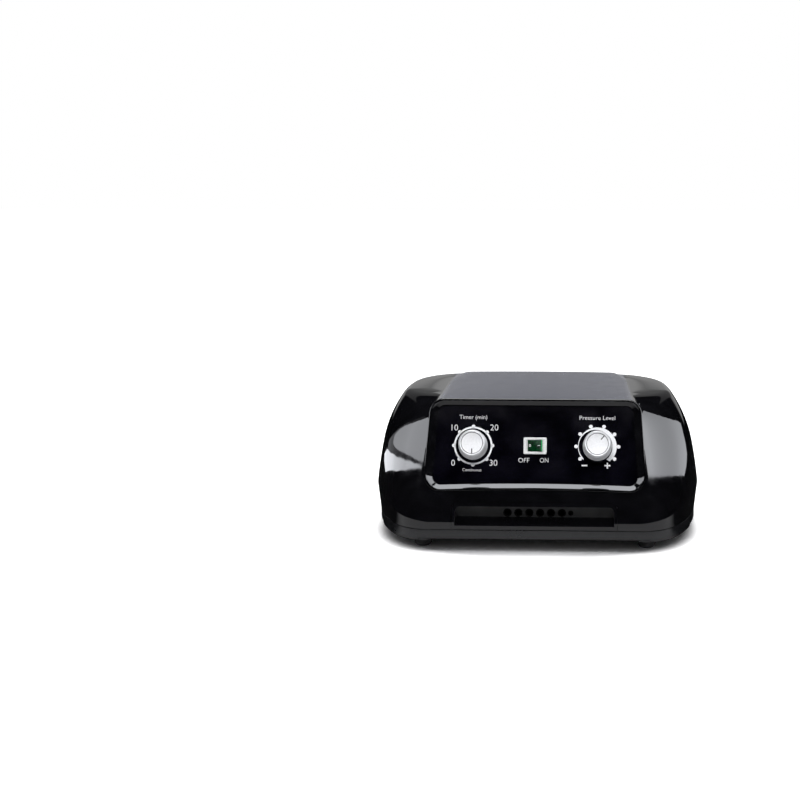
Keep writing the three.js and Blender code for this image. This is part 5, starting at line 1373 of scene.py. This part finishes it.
def floor_paper():
    """White paper that takes the object's real shadow and is dark behind in reflections. It glows only
    clear of a rounded area round the object, so that area's greyer floor is painted shadow that gives the
    shadow its outline.
    """
    size = 4
    corners = [(-size, -size, 0), (size, -size, 0), (size, size, 0), (-size, size, 0)]
    floor = new_object("floor", flat_mesh("floor", corners))
    material = finish("floor_paper", (0.92, 0.92, 0.93), 0.9)
    tree = material.node_tree
    shader = shader_of(material)
    place = add_node(tree, "TexCoord").outputs["Object"]
    parts = add_node(tree, "SeparateXYZ", Vector=place)
    # painted shadow: the floor glows only outside this rounded area, whose reaches set where the shadow
    # ends
    painted_shadow_reach = {"X": 0.147, "Y": 0.113}
    cubes = []
    for axis, reach in painted_shadow_reach.items():
        share = math_node(tree, "DIVIDE", parts.outputs[axis], reach)
        cubes.append(math_node(tree, "POWER", math_node(tree, "ABSOLUTE", share), 3))
    clear = ramp_node(tree, math_node(tree, "ADD", *cubes), 0.8, 1.25)
    rays = add_node(tree, "LightPath")
    seen = math_node(tree, "MULTIPLY", rays.outputs["Is Camera Ray"], clear)
    feed(tree, shader, {"Emission Color": (1, 1, 1, 1), "Emission Strength": seen})
    behind = ramp_node(tree, parts.outputs["Y"], -0.09, -0.05)
    dark_share = math_node(tree, "MULTIPLY", behind, rays.outputs["Is Glossy Ray"])
    dark = add_node(tree, "BsdfDiffuse", Color=(0.01, 0.01, 0.01, 1))
    mix = add_node(tree, "MixShader", Fac=dark_share)
    feed(tree, mix, {1: shader.outputs["BSDF"], 2: dark.outputs["BSDF"]})
    feed(tree, tree.nodes["Material Output"], {"Surface": mix.outputs["Shader"]})
    floor.data.materials.append(material)
    return floor


def build_world():
    """A white surround that reflections see only as a grey band behind the object."""
    world = bpy.data.worlds.new("studio")
    bpy.context.scene.world = world
    world.use_nodes = True
    tree = world.node_tree
    place = add_node(tree, "TexCoord").outputs["Generated"]
    x, y, z = add_node(tree, "SeparateXYZ", Vector=place).outputs

    def calc(operation, *values):
        return math_node(tree, operation, *values)

    def before(value, low, high):
        return calc("SUBTRACT", 1.0, ramp_node(tree, value, low, high))

    aside = calc("ABSOLUTE", x)
    upper_edge = calc("SUBTRACT", z, calc("MULTIPLY", aside, 0.55))
    band = calc("MULTIPLY", ramp_node(tree, y, 0.45, 0.5), before(aside, 0.5, 0.56))
    band = calc("MULTIPLY", band, before(upper_edge, 0.4, 0.43))
    low_glow = calc("MULTIPLY", before(z, 0.185, 0.235), 0.36)
    rays = add_node(tree, "LightPath").outputs
    glossy = calc("MULTIPLY", rays["Is Glossy Ray"], calc("MULTIPLY", band, calc("ADD", low_glow, 0.2)))
    diffuse = calc("MULTIPLY", rays["Is Diffuse Ray"], 0.15)
    straight = calc("MAXIMUM", rays["Is Camera Ray"], rays["Is Transmission Ray"])
    strength = calc("ADD", calc("ADD", straight, glossy), diffuse)
    feed(tree, tree.nodes["Background"], {"Color": (1, 1, 1, 1), "Strength": strength})


inner_nodes()
upper_shell()
port_mouth()
port_painted_shade_cups()
lower_tray()
feet_and_screws()
front_bezel()
control_knob("time_dial", "time_knob", -controls.knob_x, knob.time_rest)
control_knob("pressure_dial", "pressure_knob", controls.knob_x, knob.pressure_rest)
switch_frame()
rocker_paddle()
panel_printing()
rear_fittings()

camera()
floor = floor_paper()
build_world()
ceiling = [(-0.34, -0.34, 1.1), (0.34, -0.34, 1.1), (0.34, 0.45, 1.1), (-0.34, 0.45, 1.1)]
# Each card: its outline, the two places along y, and its glow at each
for name, points, *fade in (
    ("left_disc_card", beside(-0.9, left_disc), -0.25, 0.45, 6.1, 2.2),
    ("left_rim_card", beside(-0.93, left_rim), -0.25, 0.45, 0.3, 0.6),
    ("left_wedge_card", beside(-0.45, left_wedge), -0.05, 0.3, 9, 4),
    ("left_tip_card", beside(-0.9, left_tip), -0.6, -0.2, 10, 10),
    ("right_panel_card", beside(0.9, right_panel), -1.2, 0.75, 8.5, 2.1),
    ("ceiling_card", ceiling, -0.34, 0.45, 9, 9),
):
    studio_card(name, points, *fade)
overhead = softbox("overhead", azimuth=180, elevation=78, distance=1.1, width=0.62, height=0.62, radiance=9)
overhead.visible_glossy = False
front_light = softbox("front", azimuth=0, elevation=46, distance=1.3, width=0.5, height=0.3, radiance=15.5)
unlit = bpy.data.collections.new("front_light_receivers")
unlit.objects.link(floor)
front_light.light_linking.receiver_collection = unlit
unlit.collection_objects[0].light_linking.link_state = "EXCLUDE"
bpy.context.scene.view_settings.view_transform = "Standard"
